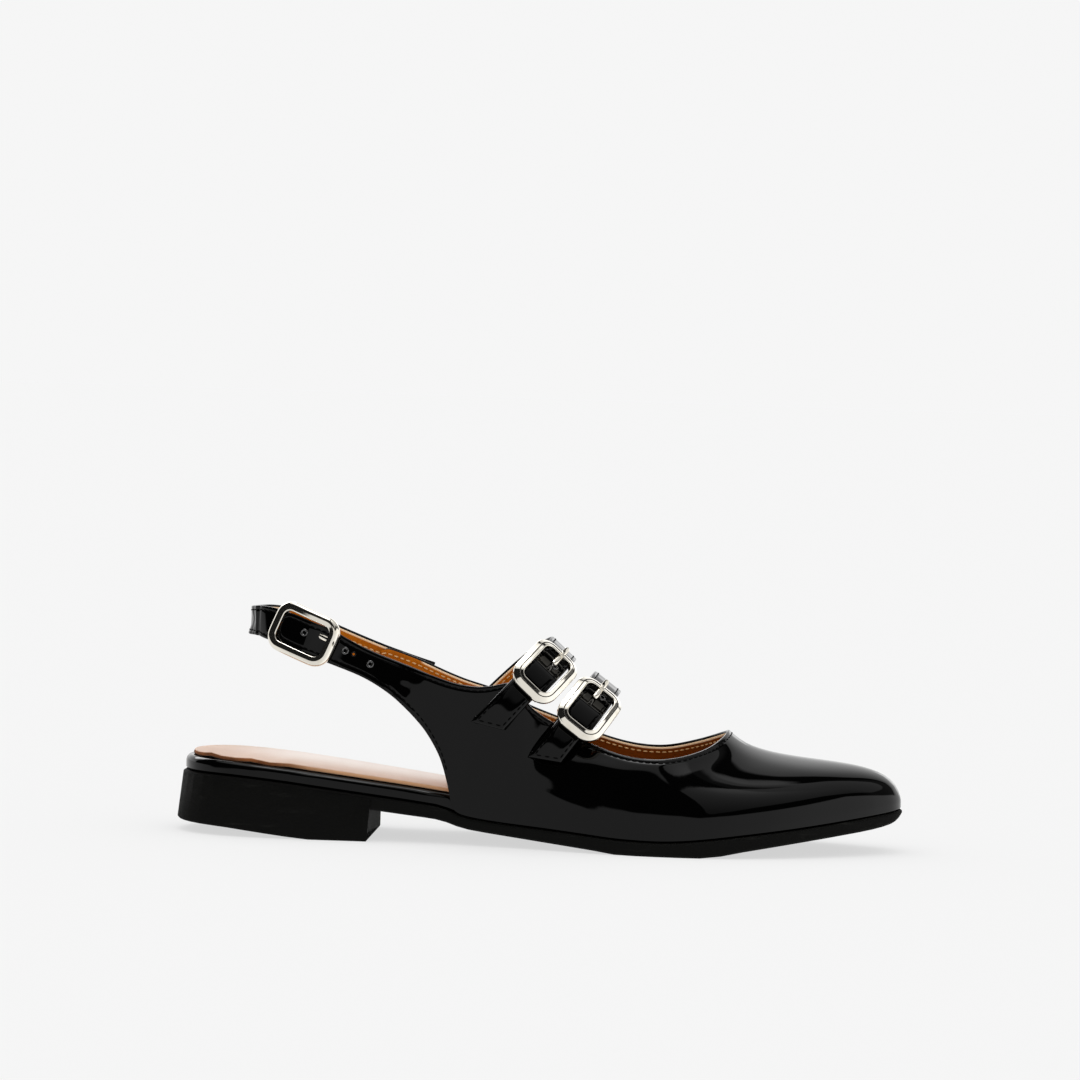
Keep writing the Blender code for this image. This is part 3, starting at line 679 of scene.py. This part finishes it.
def makeUpper():
    across, steps, middle = (upperPlan[name] for name in ("across", "edgeSteps", "middle"))
    grid = sheetGrid("upper", across, lambda loop: tailCorners(loop, across))
    if grid[:, 0, 2].mean() > grid[:, -1, 2].mean():
        grid = grid[::-1, ::-1]
    spread = valueAt(grid[:, 0, 0], upperPlan["tail"]) * (grid[:, 0, 1] < 0)
    topSpread = valueAt(grid[:, -1, 0], upperPlan["tailTop"]) * (grid[:, -1, 1] < 0)
    grid = twisted(leaned(finerRows(widened(grid, spread, topSpread), upperPlan["rowFactor"])))
    outer = pressed(dressed(grid, steps, 0.0, middle), upperPlan["creases"])
    normals = normalsOf(outer)
    free = freeEdge(outer[:, 0])
    outer = edged(outer, normals, upperPlan, free)
    seam = upperPlan["stitchStep"]
    gridPiece("upper_patent", outer, upperPlan["wall"], "patent", ("upper",))
    sew("black", outer[:, -1 - seam], normals[:, -1 - seam])
    hanging = free > 0.5
    for side in (-1, 1):
        keep = hanging & (outer[:, 0, 1] * side > 0)
        sew("black", outer[keep][:, seam], normals[keep][:, seam])
    inner = dressed(grid, steps, upperPlan["liningBack"], middle)
    facing = normalsOf(inner)
    inner = inner - facing * (upperPlan["wall"] + upperPlan["liningGap"])
    for i, turn in enumerate(upperPlan["liningTurn"]):
        inner[:, -1 - i] += facing[:, -1 - i] * turn
    lining = gridPiece("upper_lining", inner, upperPlan["liningWall"], "lining").data
    for vert, gap in zip(lining.vertices, lining.attributes["edgeGap"].data):
        if vert.co.x < upperPlan["plainBehind"] * mm and vert.co.y > 0:
            gap.value = liningLook["edge"][1]
    back = -normalsOf(inner)
    face = inner + back * upperPlan["liningWall"]
    near = upperPlan["liningSeam"]
    sew("tan", face[:, -1 - near], back[:, -1 - near])
    for side in (-1, 1):
        keep = hanging & (outer[:, 0, 1] * side > 0)
        sew("tan", face[keep][:, seam], back[keep][:, seam])
    return outer, normals


upperFace, upperNormals = makeUpper()
print("upper made", upperFace.shape)


# Straps, lined with tan
strapPlan = {"across": 4, "rowFactor": 2, "slingRows": 5, "middle": 2, "wall": 1.0, "roll": 0.55,
             "edgeSteps": (0.0, 0.35, 0.8, 1.3, 1.7, 2.1, 2.7), "stitchStep": 4, "trough": 0.14,
             "liningWall": 0.5, "liningBack": 1.0, "liningGap": 0.02,
             # steps that the sling's tan seams are set in from the black ones, and where they end
             "seamIn": 2, "bareBehind": -94.0,
             # how far the instep straps run on under their buckles, and drop
             "tuck": 4.0, "tuckDrop": 1.2,
             # how far each edge is set out, heel side and toe side
             "spread": {"sling_strap": (0.0, 0.0), "instep_strap_rear": (0.3, 1.7),
                        "instep_strap_front": (0.3, 1.7)},
             # how far the sling's lower edge is set out on the buckle's side: place, then distance
             "slingLower": ((-104.5, 0.0), (-98.0, 1.7), (-80.0, 1.7)),
             # the sling's end on the medial arm is pressed down and unlined: places, then depth
             "slingEnd": (-53.0, -49.0, 0.5),
             # soft folds: the sling's crumples behind the heel, and a dip under each lower buckle bar
             "creases": {"sling_strap": (((-104.8, -1.5, 69.0), (-104.6, -4.5, 70.0), 2.6, 1.3),
                                         ((-104.8, -1.0, 75.5), (-104.4, -5.0, 75.0), 1.8, -0.7),
                                         ((-100.6, -8.6, 81.5), (-101.0, -8.2, 70.0), 0.8, -0.3),
                                         ((-102.0, -6.4, 81.5), (-101.6, -7.2, 70.0), 0.7, 0.3),
                                         ((-103.2, -4.2, 78.0), (-103.0, -4.4, 70.0), 0.8, -0.3)),
                         "instep_strap_rear": (((-9.0, -31.0, 61.0), (1.0, -30.5, 51.5), 6.0, -1.8),),
                         "instep_strap_front": (((6.5, -31.5, 47.5), (17.5, -31.0, 38.0), 6.0, -1.8),)}}


def makeStrap(node):
    sling = node == "sling_strap"
    steps, middle = strapPlan["edgeSteps"], strapPlan["middle"]
    grid = sheetGrid(node, strapPlan["across"])
    axis = 2 if sling else 0
    if grid[:, 0, axis].mean() > grid[:, -1, axis].mean():
        grid = grid[::-1, ::-1]
    grid = widened(grid, *strapPlan["spread"][node])
    if sling:
        lower = valueAt(grid[:, 0, 0], strapPlan["slingLower"]) * (grid[:, 0, 1] < 0)
        grid = widened(grid, lower, 0.0)
    else:
        tuck = grid[-1] + unit(grid[-1] - grid[-3]) * strapPlan["tuck"]
        tuck = tuck - normalsOf(grid)[-1] * strapPlan["tuckDrop"]
        grid = np.concatenate([grid, tuck[None]])
    grid = finerRows(grid, strapPlan["slingRows" if sling else "rowFactor"])
    grid = pressed(grid, strapPlan["creases"][node])
    if sling:
        grid = twisted(grid)
        fromArm, onArm, depth = strapPlan["slingEnd"]
        press = np.interp(grid[..., 0], (fromArm, onArm), (0.0, depth)) * (grid[..., 1] > 0)
        grid = grid - normalsOf(grid) * press[..., None]
    outer = dressed(grid, steps, 0.0, middle)
    normals = normalsOf(outer)
    outer = edged(outer, normals, strapPlan, np.ones(len(outer)))
    seam = strapPlan["stitchStep"]
    gridPiece(node + "_patent", outer, strapPlan["wall"], "patent", (node,))
    inner = dressed(grid, steps, strapPlan["liningBack"], middle)
    inner = inner - normalsOf(inner) * (strapPlan["wall"] + strapPlan["liningGap"])
    if sling:
        inner = inner[(inner[:, 0, 1] < 0) | (inner[:, 0, 0] < fromArm)]
    gridPiece(node + "_lining", inner, strapPlan["liningWall"], "lining")
    back = -normalsOf(inner)
    face = inner + back * strapPlan["liningWall"]
    tanSeam = seam + strapPlan["seamIn"] if sling else seam
    for i, far in ((seam, tanSeam), (-1 - seam, -1 - tanSeam)):
        sew("black", outer[:, i], normals[:, i])
        sew("tan", face[:, far], back[:, far], lambda spot: spot[0] < strapPlan["bareBehind"])
    return outer, normals


straps = {node: makeStrap(node) for node in ("sling_strap", "instep_strap_rear", "instep_strap_front")}
print("straps made:", len(straps))


# Buckle tabs: thick, with painted edges and stitches down both sides and across the foot
tabPlan = {"across": 4, "edgeSteps": (0.0, 0.25, 0.6, 1.2, 1.6, 2.0), "stitchStep": 4, "trough": 0.14,
           "middle": 3, "middleRows": 9, "wall": 2.7, "roll": 1.9, "rollDepth": 0.75,
           # how far each foot is set in
           "sink": {"buckle_tab_rear": 0.0, "buckle_tab_front": 1.3}}


def makeTab(node):
    grid = sheetGrid(node, tabPlan["across"])
    if grid[0, :, 2].mean() > grid[-1, :, 2].mean():
        grid = grid[::-1, ::-1]
    steps = tabPlan["edgeSteps"]
    face = dressed(grid, steps, 0.0, tabPlan["middle"])
    face = dressed(face.swapaxes(0, 1), steps, 0.0, tabPlan["middleRows"]).swapaxes(0, 1)
    normals = normalsOf(face)
    sink = np.linspace(tabPlan["sink"][node], 0.0, len(face))
    face = face - normals * sink[:, None, None]
    drops = np.zeros(face.shape[:2])
    for i, drop in enumerate(rollDrop(steps, tabPlan["roll"]) * tabPlan["rollDepth"]):
        for rows in (drops[:, i], drops[:, -1 - i], drops[i]):
            np.maximum(rows, drop, out=rows)
    face = face - normals * drops[..., None]
    seam = tabPlan["stitchStep"]
    foot = slice(seam, -seam)
    lines = [(face[seam:, i].copy(), normals[seam:, i]) for i in (seam, -1 - seam)]
    lines.append((face[seam, foot].copy(), normals[seam, foot]))
    sunk = np.zeros(face.shape[:2])
    sunk[seam:, seam] = sunk[seam:, -1 - seam] = sunk[seam, foot] = tabPlan["trough"]
    gridPiece(node + "_patent", face - normals * sunk[..., None], tabPlan["wall"],
              ("patent", "edgePaintAndReflection"), (node,), even=False, rim=1)
    for line, facing in lines:
        sew("black", line - facing * tabPlan["trough"], facing)


for node in ("buckle_tab_rear", "buckle_tab_front"):
    makeTab(node)
print("tabs made")


# Buckle frames, bent to the line of their solids
# width and rise towards the opening of a round shoulder, of flats with their finish and of a rounded lip;
# finish 1 is a painted dark reflection in the bar's groove
slingBar = ((1.7, 1.6), ((1.3, -0.18, 0),), (0.45, 0.45))
instepBar = ((0.3, 0.5), ((1.3, 0.78, 0), (0.36, -0.1, 1), (1.0, 0.36, 0)), (0.45, 0.45))
buckleFrame = {"length": 25.4, "width": 18.4, "corner": 6.0, "wall": 0.7,
               "bars": {"sling_buckle": slingBar, "instep_buckle_rear": instepBar,
                        "instep_buckle_front": instepBar},
               # width of the strips that keep a flat's borders crisp
               "crease": 0.08, "outerSteps": 5, "lipSteps": 3, "cuts": 8, "cornerSegments": 8,
               "underSteps": ((0.3, 0.25, 0), (0.5, 0.1, 0), (1.6, 0.0, 0), (0.6, -0.1, 0)),
               "underLip": -0.1,
               # turn about the long side in degrees, and shift along the shoe
               "lean": {"sling_buckle": 11.0},
               "nudge": {"sling_buckle": 0.5, "instep_buckle_rear": 0.7, "instep_buckle_front": 0.5}}


# Steps inward and up over a bar
def domeSteps(plan, node):
    def arc(size, count):
        turns = np.linspace(0.0, pi / 2, count + 1)
        insets, rises = np.diff(size[0] * (1 - np.cos(turns))), np.diff(size[1] * np.sin(turns))
        return [(inset, rise, 0) for inset, rise in zip(insets, rises)]

    shoulder, flats, lip = plan["bars"][node]
    steps = arc(shoulder, plan["outerSteps"])
    for width, rise, shade in flats:
        strip = (plan["crease"], rise * plan["crease"] / width, shade)
        steps += [strip, (width - 2 * strip[0], rise - 2 * strip[1], shade), strip]
    return steps + [(inset, -rise, 0) for inset, rise, _ in reversed(arc(lip, plan["lipSteps"]))]


def ringSolid(plan, node):
    bm = bmesh.new()
    bmesh.ops.create_grid(bm, x_segments=1, y_segments=1, size=0.5)
    bmesh.ops.scale(bm, verts=bm.verts, vec=(plan["length"] * mm, plan["width"] * mm, 1.0))
    bmesh.ops.bevel(bm, geom=list(bm.verts), offset=plan["corner"] * mm, segments=plan["cornerSegments"],
                    affect="VERTICES", profile=0.5, material=-1)
    base = bm.faces[:][0]
    raised = bmesh.ops.extrude_face_region(bm, geom=[base])["geom"]
    top = next(item for item in raised if isinstance(item, bmesh.types.BMFace))
    bmesh.ops.translate(bm, verts=top.verts, vec=(0, 0, plan["wall"] * mm))
    bmesh.ops.recalc_face_normals(bm, faces=bm.faces)
    steps = domeSteps(plan, node)
    under = list(plan["underSteps"])
    reach = sum(step[0] for step in steps) - sum(step[0] for step in under)
    under.append((reach, plan["underLip"], 0))
    rims = []
    for path, up in ((steps, 1), (under, -1)):
        cap = max(bm.faces, key=lambda face: face.normal.z * up * face.calc_area())
        for inset, rise, shade in path:
            ring = bmesh.ops.inset_region(bm, faces=[cap], thickness=inset * mm, depth=rise * mm,
                                          use_even_offset=True)
            for face in ring["faces"]:
                face.material_index = shade
        rims += cap.edges[:]
        bmesh.ops.delete(bm, geom=[cap], context="FACES_ONLY")
    bmesh.ops.bridge_loops(bm, edges=rims)
    bmesh.ops.translate(bm, verts=bm.verts, vec=(0, 0, -plan["wall"] / 2 * mm))
    straight = plan["length"] - 2 * plan["corner"]
    for x in np.linspace(-0.5, 0.5, plan["cuts"] + 2)[1:-1] * straight:
        bmesh.ops.bisect_plane(bm, geom=bm.verts[:] + bm.edges[:] + bm.faces[:],
                               plane_co=(x * mm, 0, 0), plane_no=(1, 0, 0))
    bmesh.ops.recalc_face_normals(bm, faces=bm.faces)
    return bm


# Centre of a frame's solid, its directions and the bend along its length
def layOn(node):
    bm = mergedCopy(node)
    spots = np.array([vert.co for vert in bm.verts]) / mm
    bm.free()
    centre = (spots.min(0) + spots.max(0)) / 2
    along, across, out = np.linalg.svd(spots - spots.mean(0), full_matrices=False)[2]
    if out[1] > 0:
        out = -out
    across = np.cross(out, along)
    local = (spots - centre) @ np.array([along, across, out]).T
    middle = (local.min(0) + local.max(0)) / 2
    centre = centre + middle[0] * along + middle[1] * across
    centre[0] += buckleFrame["nudge"][node]
    bend = np.polyfit(local[:, 0] - middle[0], local[:, 2], 2)
    return centre, along, across, out, bend


def makeBuckle(node):
    centre, along, across, out, bend = layOn(node)
    bm = ringSolid(buckleFrame, node)
    lean = radians(buckleFrame["lean"].get(node, 0.0)) * (1 if across[2] > 0 else -1)
    for vert in bm.verts:
        x, y, z = np.array(vert.co) / mm
        y, z = y * cos(lean) + z * sin(lean), z * cos(lean) - y * sin(lean)
        vert.co = Vector(centre + along * x + across * y + out * (z + np.polyval(bend, x))) * mm
    bmesh.ops.recalc_face_normals(bm, faces=bm.faces)
    if bm.calc_volume(signed=True) < 0:
        bmesh.ops.reverse_faces(bm, faces=bm.faces)
    soften(pieceFrom(node + "_frame", bm, ("metal", "edgePaintAndReflection"), (node,)), 2)


prongPlan = {"dip": 3.0, "dipOver": 0.2, "slideOver": 0.12, "widen": 1.5, "joinAngles": (1.2, 1.4),
             # how far each is slid to its bar, where its tip starts down through the strap, and its lift
             "sling_prong": (1.3, 0.14, -0.3), "instep_prong_rear": (1.6, 0.12, 1.7),
             "instep_prong_front": (1.6, 0.12, 1.7)}


def makeProng(node, buckle):
    bm = mergedCopy(node)
    faceAngle, shapeAngle = prongPlan["joinAngles"]
    bmesh.ops.join_triangles(bm, faces=bm.faces, angle_face_threshold=faceAngle,
                             angle_shape_threshold=shapeAngle)
    out = layOn(buckle)[3]
    spots = np.array([vert.co for vert in bm.verts]) / mm
    tip = np.linalg.svd(spots - spots.mean(0), full_matrices=False)[2][0]
    tip = tip if tip[0] < 0 else -tip
    reach = spots @ tip
    share = (reach - reach.min()) / np.ptp(reach)
    slide, dipFrom, lift = prongPlan[node]
    side = unit(np.cross(out, tip))
    aside = (spots - spots.mean(0)) @ side * (prongPlan["widen"] - 1.0)
    for vert, place, wide in zip(bm.verts, share, aside):
        dip = np.clip((place - dipFrom) / prongPlan["dipOver"], 0.0, 1.0) * prongPlan["dip"]
        slid = np.clip(place / prongPlan["slideOver"], 0.0, 1.0) * slide
        vert.co += Vector(side * wide + out * (lift - dip) - tip * slid) * mm
    soften(pieceFrom(node + "_pin", bm, "metal", (node,)), 2)


for node in ("sling_buckle", "instep_buckle_rear", "instep_buckle_front"):
    makeBuckle(node)
    makeProng(node.replace("buckle", "prong"), node)
print("buckles made")


# Punched holes with a rolled rim
holePlan = {"sides": 18, "reach": 4.0,
            # steps of the rim, inward and up, as shares of the radius
            "rimSteps": ((0.08, 0.15), (0.12, 0.08), (0.13, 0.0), (0.13, -0.12), (0.07, -0.07)),
            # place, radius, then what shows inside: 1 is a dark disc of painted shade for the hole's
            # inside, and 2 the lining, with a plain rim
            "spots": (((-83.17, -22.64, 72.58), 1.4, 1), ((-68.5, -23.05, 66.73), 1.4, 1),
                      ((-65.42, -23.56, 65.68), 0.95, 2), ((-59.41, -24.67, 62.45), 1.4, 1),
                      ((5.17, -18.62, 63.32), 1.4, 1), ((21.94, -16.77, 52.89), 1.4, 1))}


# Place on the lowest sheet within reach, and the way that it faces
def seatOn(spot):
    sheets = [(upperFace, upperNormals)] + list(straps.values())
    best = None
    for points, normals in sheets:
        gaps = np.linalg.norm(points - spot, axis=2)
        i, j = np.unravel_index(np.argmin(gaps), gaps.shape)
        about = slice(max(i - 1, 0), i + 2), slice(max(j - 1, 0), j + 2)
        out = unit(normals[about].reshape(-1, 3).mean(0))
        drop = (spot - points[about].reshape(-1, 3).mean(0)) @ out
        if gaps[i, j] < holePlan["reach"] and (best is None or drop < best[0]):
            best = (drop, spot - out * drop, out)
    return best[1:]


def makeHoles():
    bm = bmesh.new()
    edgeGap = bm.verts.layers.float.new("edgeGap")
    for spot, radius, inside in holePlan["spots"]:
        start = len(bm.verts)
        ring = bmesh.ops.create_circle(bm, cap_ends=True, segments=holePlan["sides"],
                                       radius=radius * mm)
        cap = ring["verts"][0].link_faces[0]
        cap.material_index = 0 if inside == 1 else 3
        for inset, rise in holePlan["rimSteps"]:
            bmesh.ops.inset_individual(bm, faces=[cap], thickness=inset * radius * mm,
                                       depth=rise * radius * mm)
        # the middle disc: painted shade for the hole, or the lining
        cap.material_index = inside
        bm.verts.ensure_lookup_table()
        seat, out = seatOn(np.array(spot))
        turn = Vector(out).to_track_quat("Z", "Y").to_matrix().to_4x4()
        turn.translation = Vector(seat) * mm
        bmesh.ops.transform(bm, matrix=turn, verts=bm.verts[start:])
    # no painted edge highlight on the lining inside the holes
    for vert in bm.verts:
        vert[edgeGap] = liningLook["edge"][1]
    pieceFrom("punched_holes", bm, ("holeRim", "holeShade", "lining", "patent"))


makeHoles()
print("holes punched:", len(holePlan["spots"]))


# Sole, heel, rand and insole from copies of their solids, with rounded edges
# bevels as width and segments; flush is the side on which the heel and the outsole meet
slabPlan = {"outsole": {"edges": ((0.25, 2),), "flush": -1},
            "heel": {"edges": ((0.3, 2),), "flush": 1},
            "insole_board": {"edges": ((1.1, 1), (0.2, 2)), "flush": 0},
            "insole": {"edges": ((0.3, 2),), "flush": 0},
            "sharp": 0.7, "flatWithin": 0.01, "level": 0.8, "seatEnd": -56.0, "seatFloor": 8.0,
            # the heel is carried up over the outsole's side, a little proud of it
            "cover": 4.0, "proud": 1.012,
            # waves of the insole's near edge: height, pitch, where they end, the fade; finer ones on them
            "wave": (0.3, 15.0, -78.0, 12.0), "finerWave": (0.6, 2.3), "topFacing": 0.6}


def makeSlab(name, node, finish):
    plan = slabPlan[node]

    def rounded(edge):
        # a rim, unless it lies where the heel and the outsole meet
        if len(edge.link_faces) != 2 or edge.calc_face_angle(0.0) < slabPlan["sharp"]:
            return False
        inSeat = max(vert.co.x for vert in edge.verts) < slabPlan["seatEnd"] * mm
        facing = max(face.normal.z * plan["flush"] for face in edge.link_faces)
        return not (inSeat and facing > slabPlan["level"])

    bm = mergedCopy(node)
    bmesh.ops.dissolve_limit(bm, angle_limit=slabPlan["flatWithin"], verts=bm.verts, edges=bm.edges)
    for width, segments in plan["edges"]:
        rims = [edge for edge in bm.edges if rounded(edge)]
        bmesh.ops.bevel(bm, geom=rims, offset=width * mm, segments=segments, affect="EDGES", profile=0.5,
                        material=-1, clamp_overlap=True)
    if plan["flush"] > 0:
        seats = set()
        for face in bm.faces:
            high = face.calc_center_median().z > slabPlan["seatFloor"] * mm
            if high and face.normal.z > slabPlan["level"]:
                seats.update(face.verts)
        middle = sum((vert.co for vert in seats), Vector()) / len(seats)
        bmesh.ops.scale(bm, verts=list(seats), vec=(slabPlan["proud"], slabPlan["proud"], 1.0),
                        space=Matrix.Translation(-middle))
        bmesh.ops.translate(bm, verts=list(seats), vec=(0, 0, slabPlan["cover"] * mm))
    if node == "insole":
        height, pitch, end, fadeOver = slabPlan["wave"]
        share, times = slabPlan["finerWave"]
        for vert in bm.verts:
            fade = np.clip((end - vert.co.x / mm) / fadeOver, 0.0, 1.0) * (vert.co.y < 0)
            turn = vert.co.x / mm * 2 * pi / pitch
            vert.co.z += fade * height * (sin(turn) + share * sin(times * turn)) * mm
    item = pieceFrom(name, bm, finish, (node,))
    levelShade(item)
    return item


makeSlab("outsole_rubber", "outsole", "sole")
makeSlab("heel_block", "heel", "sole")
makeSlab("rand", "insole_board", "patent")
insolePiece = makeSlab("insole_sock", "insole", ("insole", "cutEdge"))
for face in insolePiece.data.polygons:
    face.material_index = 0 if abs(face.normal.z) > slabPlan["topFacing"] else 1
print("sole parts made")


# Threads joined into one mesh for each colour
def makeThreads(kind, name, finish):
    single = bmesh.new()
    bmesh.ops.create_uvsphere(single, u_segments=stitchPlan["sides"], v_segments=stitchPlan["rings"],
                              radius=0.5, matrix=Matrix.Rotation(pi / 2, 4, "Y"))
    sizes = [stitchPlan[name] * mm for name in ("length", "width", "height")]
    bmesh.ops.scale(single, verts=single.verts, vec=sizes)
    template = meshFrom("thread", single)
    bm = bmesh.new()
    for spot, ahead, out in threads[kind]:
        start = len(bm.verts)
        bm.from_mesh(template)
        bm.verts.ensure_lookup_table()
        side = unit(np.cross(out, ahead))
        up = np.cross(ahead, side)
        seat = Matrix(np.column_stack([ahead, side, up]).tolist()).to_4x4()
        lift = stitchPlan["height"] / 2 - stitchPlan["sunk"]
        seat.translation = Vector(spot + up * lift) * mm
        bmesh.ops.transform(bm, matrix=seat, verts=bm.verts[start:])
    bpy.data.meshes.remove(template)
    return pieceFrom(name, bm, finish)


makeThreads("black", "stitches_black", "blackThread")
makeThreads("tan", "stitches_tan", "tanThread")
print("stitches made:", len(threads["black"]), "black,", len(threads["tan"]), "tan")


# Floor, light and camera
studio = {"floorSize": 40.0, "floorPaper": 0.3, "floorGlow": 0.62, "backdrop": 0.92, "ambient": 0.72,
          "sunAngle": 70.0, "sunTilt": (8.0, -6.0, 0.0), "gap": 0.012, "sideGap": 0.11,
          # pairs of compass angle and height in degrees: top of the floor's pale band
          "floorEdge": ((-180, 6), (-100, 5), (-60, 1), (-40, 3), (-24, 6), (-21, 7), (-20, 8.5),
                        (-19.2, 12), (-17, 16), (-14, 19.5), (-9, 20.5), (5, 20), (14, 16.5), (30, 18),
                        (45, 22), (60, 26), (74, 31), (86, 24), (100, 19), (120, 14), (135, 9), (180, 6)),
          # foot of the soft box
          "boxEdge": ((-180, 64), (-150, 60), (-60, 58), (10, 58), (13.8, 57), (16.5, 26), (18, 23),
                      (20, 23), (30, 27), (45, 35), (60, 40), (72, 42), (82, 36), (95, 29), (110, 30),
                      (119, 33), (125, 44), (129, 56), (133, 65), (138, 65), (145, 63.3), (154, 62.5),
                      (164, 62.5), (180, 64)),
          # top of the back wall
          "backEdge": ((-180, 58), (-160, 52), (-124, 45), (-114, 40), (-110, 0), (120, 0), (131, 16),
                       (135, 27), (140, 42), (148, 53), (164, 57), (180, 58)),
          # half widths of their soft borders
          "edgeSoft": 1.2, "backSoft": 1.6,
          # pairs of compass angle and level, then of height and level
          "floorLevel": ((-180, 0.85), (-60, 0.85), (-40, 0.75), (0, 0.8), (20, 0.85), (45, 1.0),
                         (62, 1.2), (85, 1.25), (105, 1.05), (135, 1.0), (180, 0.9)),
          "boxLevel": ((0, 0.22), (22, 0.22), (30, 0.3), (40, 0.45), (50, 0.6), (58, 0.75), (65, 1.0),
                       (70, 1.5), (75, 1.8), (90, 1.6)),
          "sideLevel": ((0, 0.4), (30, 0.45), (60, 0.58), (70, 0.7), (80, 1.2), (90, 1.6)),
          # compass angles where the box's side level comes in and goes out
          "sideIn": (82.0, 94.0), "sideOut": (128.0, 140.0),
          # the wall is lighter lower down, by so much over so many degrees
          "backLevel": 0.65, "backFade": 0.6, "backSpan": 30.0,
          # small bright lamps: compass angles from and to, heights from and to, level
          "lamps": ((-190.0, -128.0, 28.0, 44.0, 5.0), (152.0, 169.0, 3.0, 20.0, 1.0),
                    (-190.0, 190.0, 80.0, 95.0, 5.0)),
          # dark seam across the soft box, as a line on a ceiling: its slope, place, half width and border
          "seam": (0.235, 0.283, 0.032, 0.008),
          # where the seam ends, back from the camera and down
          "seamEnd": (0.12, 0.26), "seamRise": (50.0, 54.0),
          # tallest height in degrees and level that a broken line can hold
          "tallest": 90.0, "brightest": 2.0}


def makeFloor():
    bm = bmesh.new()
    bmesh.ops.create_grid(bm, x_segments=1, y_segments=1, size=studio["floorSize"] / 2)
    floor = placed("floor", meshFrom("floor", bm))
    paper = Finish(bpy.data.materials.new("floor_paper"))
    floor.data.materials.append(paper.surface({"Base Color": grey(studio["floorPaper"]), "Roughness": 1.0,
                                               "Specular IOR Level": 0.0, "Emission Color": grey(1.0),
                                               "Emission Strength": studio["floorGlow"]}))
    floor.visible_glossy = False


def makeWorld():
    world = bpy.data.worlds.new("studio")
    bpy.context.scene.world = world
    sky = Finish(world)
    ray = sky.node("ShaderNodeTexCoord", out="Generated")
    x, y, z = (sky.node("ShaderNodeSeparateXYZ", {}, {0: ray}, out=axis) for axis in range(3))
    turn = sky.node("ShaderNodeMath", {"operation": "ARCTAN2"}, {0: x, 1: 0.0 - y}) * (180 / pi)
    rise = sky.node("ShaderNodeMath", {"operation": "ARCSINE"}, {0: z}) * (180 / pi)

    # a broken line through the pairs, kept within 0 to 1 on the ramp
    def read(name, value, start, span, tall):
        pairs = [((place - start) / span, (level / tall,) * 3) for place, level in studio[name]]
        return sky.node("ShaderNodeValToRGB", {"stops": pairs}, {0: (value - start) / span}) * tall

    def around(name, tall):
        return read(name, turn, -180.0, 360.0, tall)

    def upward(name):
        return read(name, rise, 0.0, studio["tallest"], studio["brightest"])

    def above(edge, soft=studio["edgeSoft"]):
        return sky.ramp(rise - edge, -soft, soft)

    def between(value, low, high, soft=1.0):
        return sky.ramp(value, low - soft, low + soft) * (1.0 - sky.ramp(value, high - soft, high + soft))

    edges = ("floorEdge", "boxEdge", "backEdge")
    floorEdge, boxEdge, backEdge = (around(name, studio["tallest"]) for name in edges)
    floor = around("floorLevel", studio["brightest"]) * (1.0 - above(floorEdge))
    toSide = sky.ramp(turn, *studio["sideIn"]) * (1.0 - sky.ramp(turn, *studio["sideOut"]))
    box = (upward("boxLevel") * (1.0 - toSide) + upward("sideLevel") * toSide) * above(boxEdge)
    slope, middle, half, soft = studio["seam"]
    offSeam = x / z - y / z * slope - middle
    fromSeam = sky.node("ShaderNodeMath", {"operation": "ABSOLUTE"}, {0: offSeam})
    dark = 1.0 - sky.ramp(fromSeam, half - soft, half + soft)
    dark = dark * (1.0 - sky.ramp(y / z, *studio["seamEnd"])) * sky.ramp(rise, *studio["seamRise"])
    box = box * (1.0 - dark)
    wall = studio["backLevel"] + studio["backFade"] * sky.ramp(backEdge - rise, 0.0, studio["backSpan"])
    back = wall * (1.0 - above(backEdge, studio["backSoft"])) * above(floorEdge)
    lamps = 0.0
    for left, right, low, high, glare in studio["lamps"]:
        lamps = lamps + between(turn, left, right) * between(rise, low, high) * glare
    level = floor + box + back + lamps + studio["gap"] + studio["sideGap"] * toSide
    seen = sky.node("ShaderNodeLightPath", out="Is Camera Ray")
    glossy = sky.node("ShaderNodeLightPath", out="Is Glossy Ray")
    colour = sky.mix(glossy, grey(studio["ambient"]), level)
    colour = sky.mix(seen, colour, grey(studio["backdrop"]))
    shade = sky.node("ShaderNodeBackground", {}, {"Color": colour, "Strength": 1.0})
    sky.node("ShaderNodeOutputWorld", {}, {"Surface": shade})


def makeSun():
    lamp = bpy.data.lights.new("overhead", "SUN")
    lamp.energy = (1.0 - studio["ambient"]) * pi
    lamp.angle = radians(studio["sunAngle"])
    item = placed("overhead", lamp)
    item.rotation_euler = [radians(angle) for angle in studio["sunTilt"]]
    item.visible_glossy = False


cameraPlan = {"lens": 150.28, "sensor": 36.0, "distance": 1.6, "farthest": 100.0,
              "yaw": 3.1536, "pitch": 2.2462, "roll": 1.8457, "target": (-0.002621, 0.0010355, 0.106931)}


def makeCamera():
    yaw, pitch, roll = (radians(cameraPlan[name]) for name in ("yaw", "pitch", "roll"))
    back = Vector((sin(yaw) * cos(pitch), -cos(yaw) * cos(pitch), sin(pitch)))
    right = Vector((cos(yaw), sin(yaw), 0.0))
    up = back.cross(right)
    side = right * cos(roll) + up * sin(roll)
    top = up * cos(roll) - right * sin(roll)
    seat = Matrix((side, top, back)).transposed().to_4x4()
    seat.translation = Vector(cameraPlan["target"]) + back * cameraPlan["distance"]
    data = bpy.data.cameras.new("camera")
    data.lens = cameraPlan["lens"]
    data.sensor_width = cameraPlan["sensor"]
    data.clip_end = cameraPlan["farthest"]
    item = placed("camera", data)
    item.matrix_world = seat
    bpy.context.scene.camera = item


makeFloor()
makeWorld()
makeSun()
makeCamera()
bpy.context.scene.view_settings.view_transform = "Standard"
print("studio made")
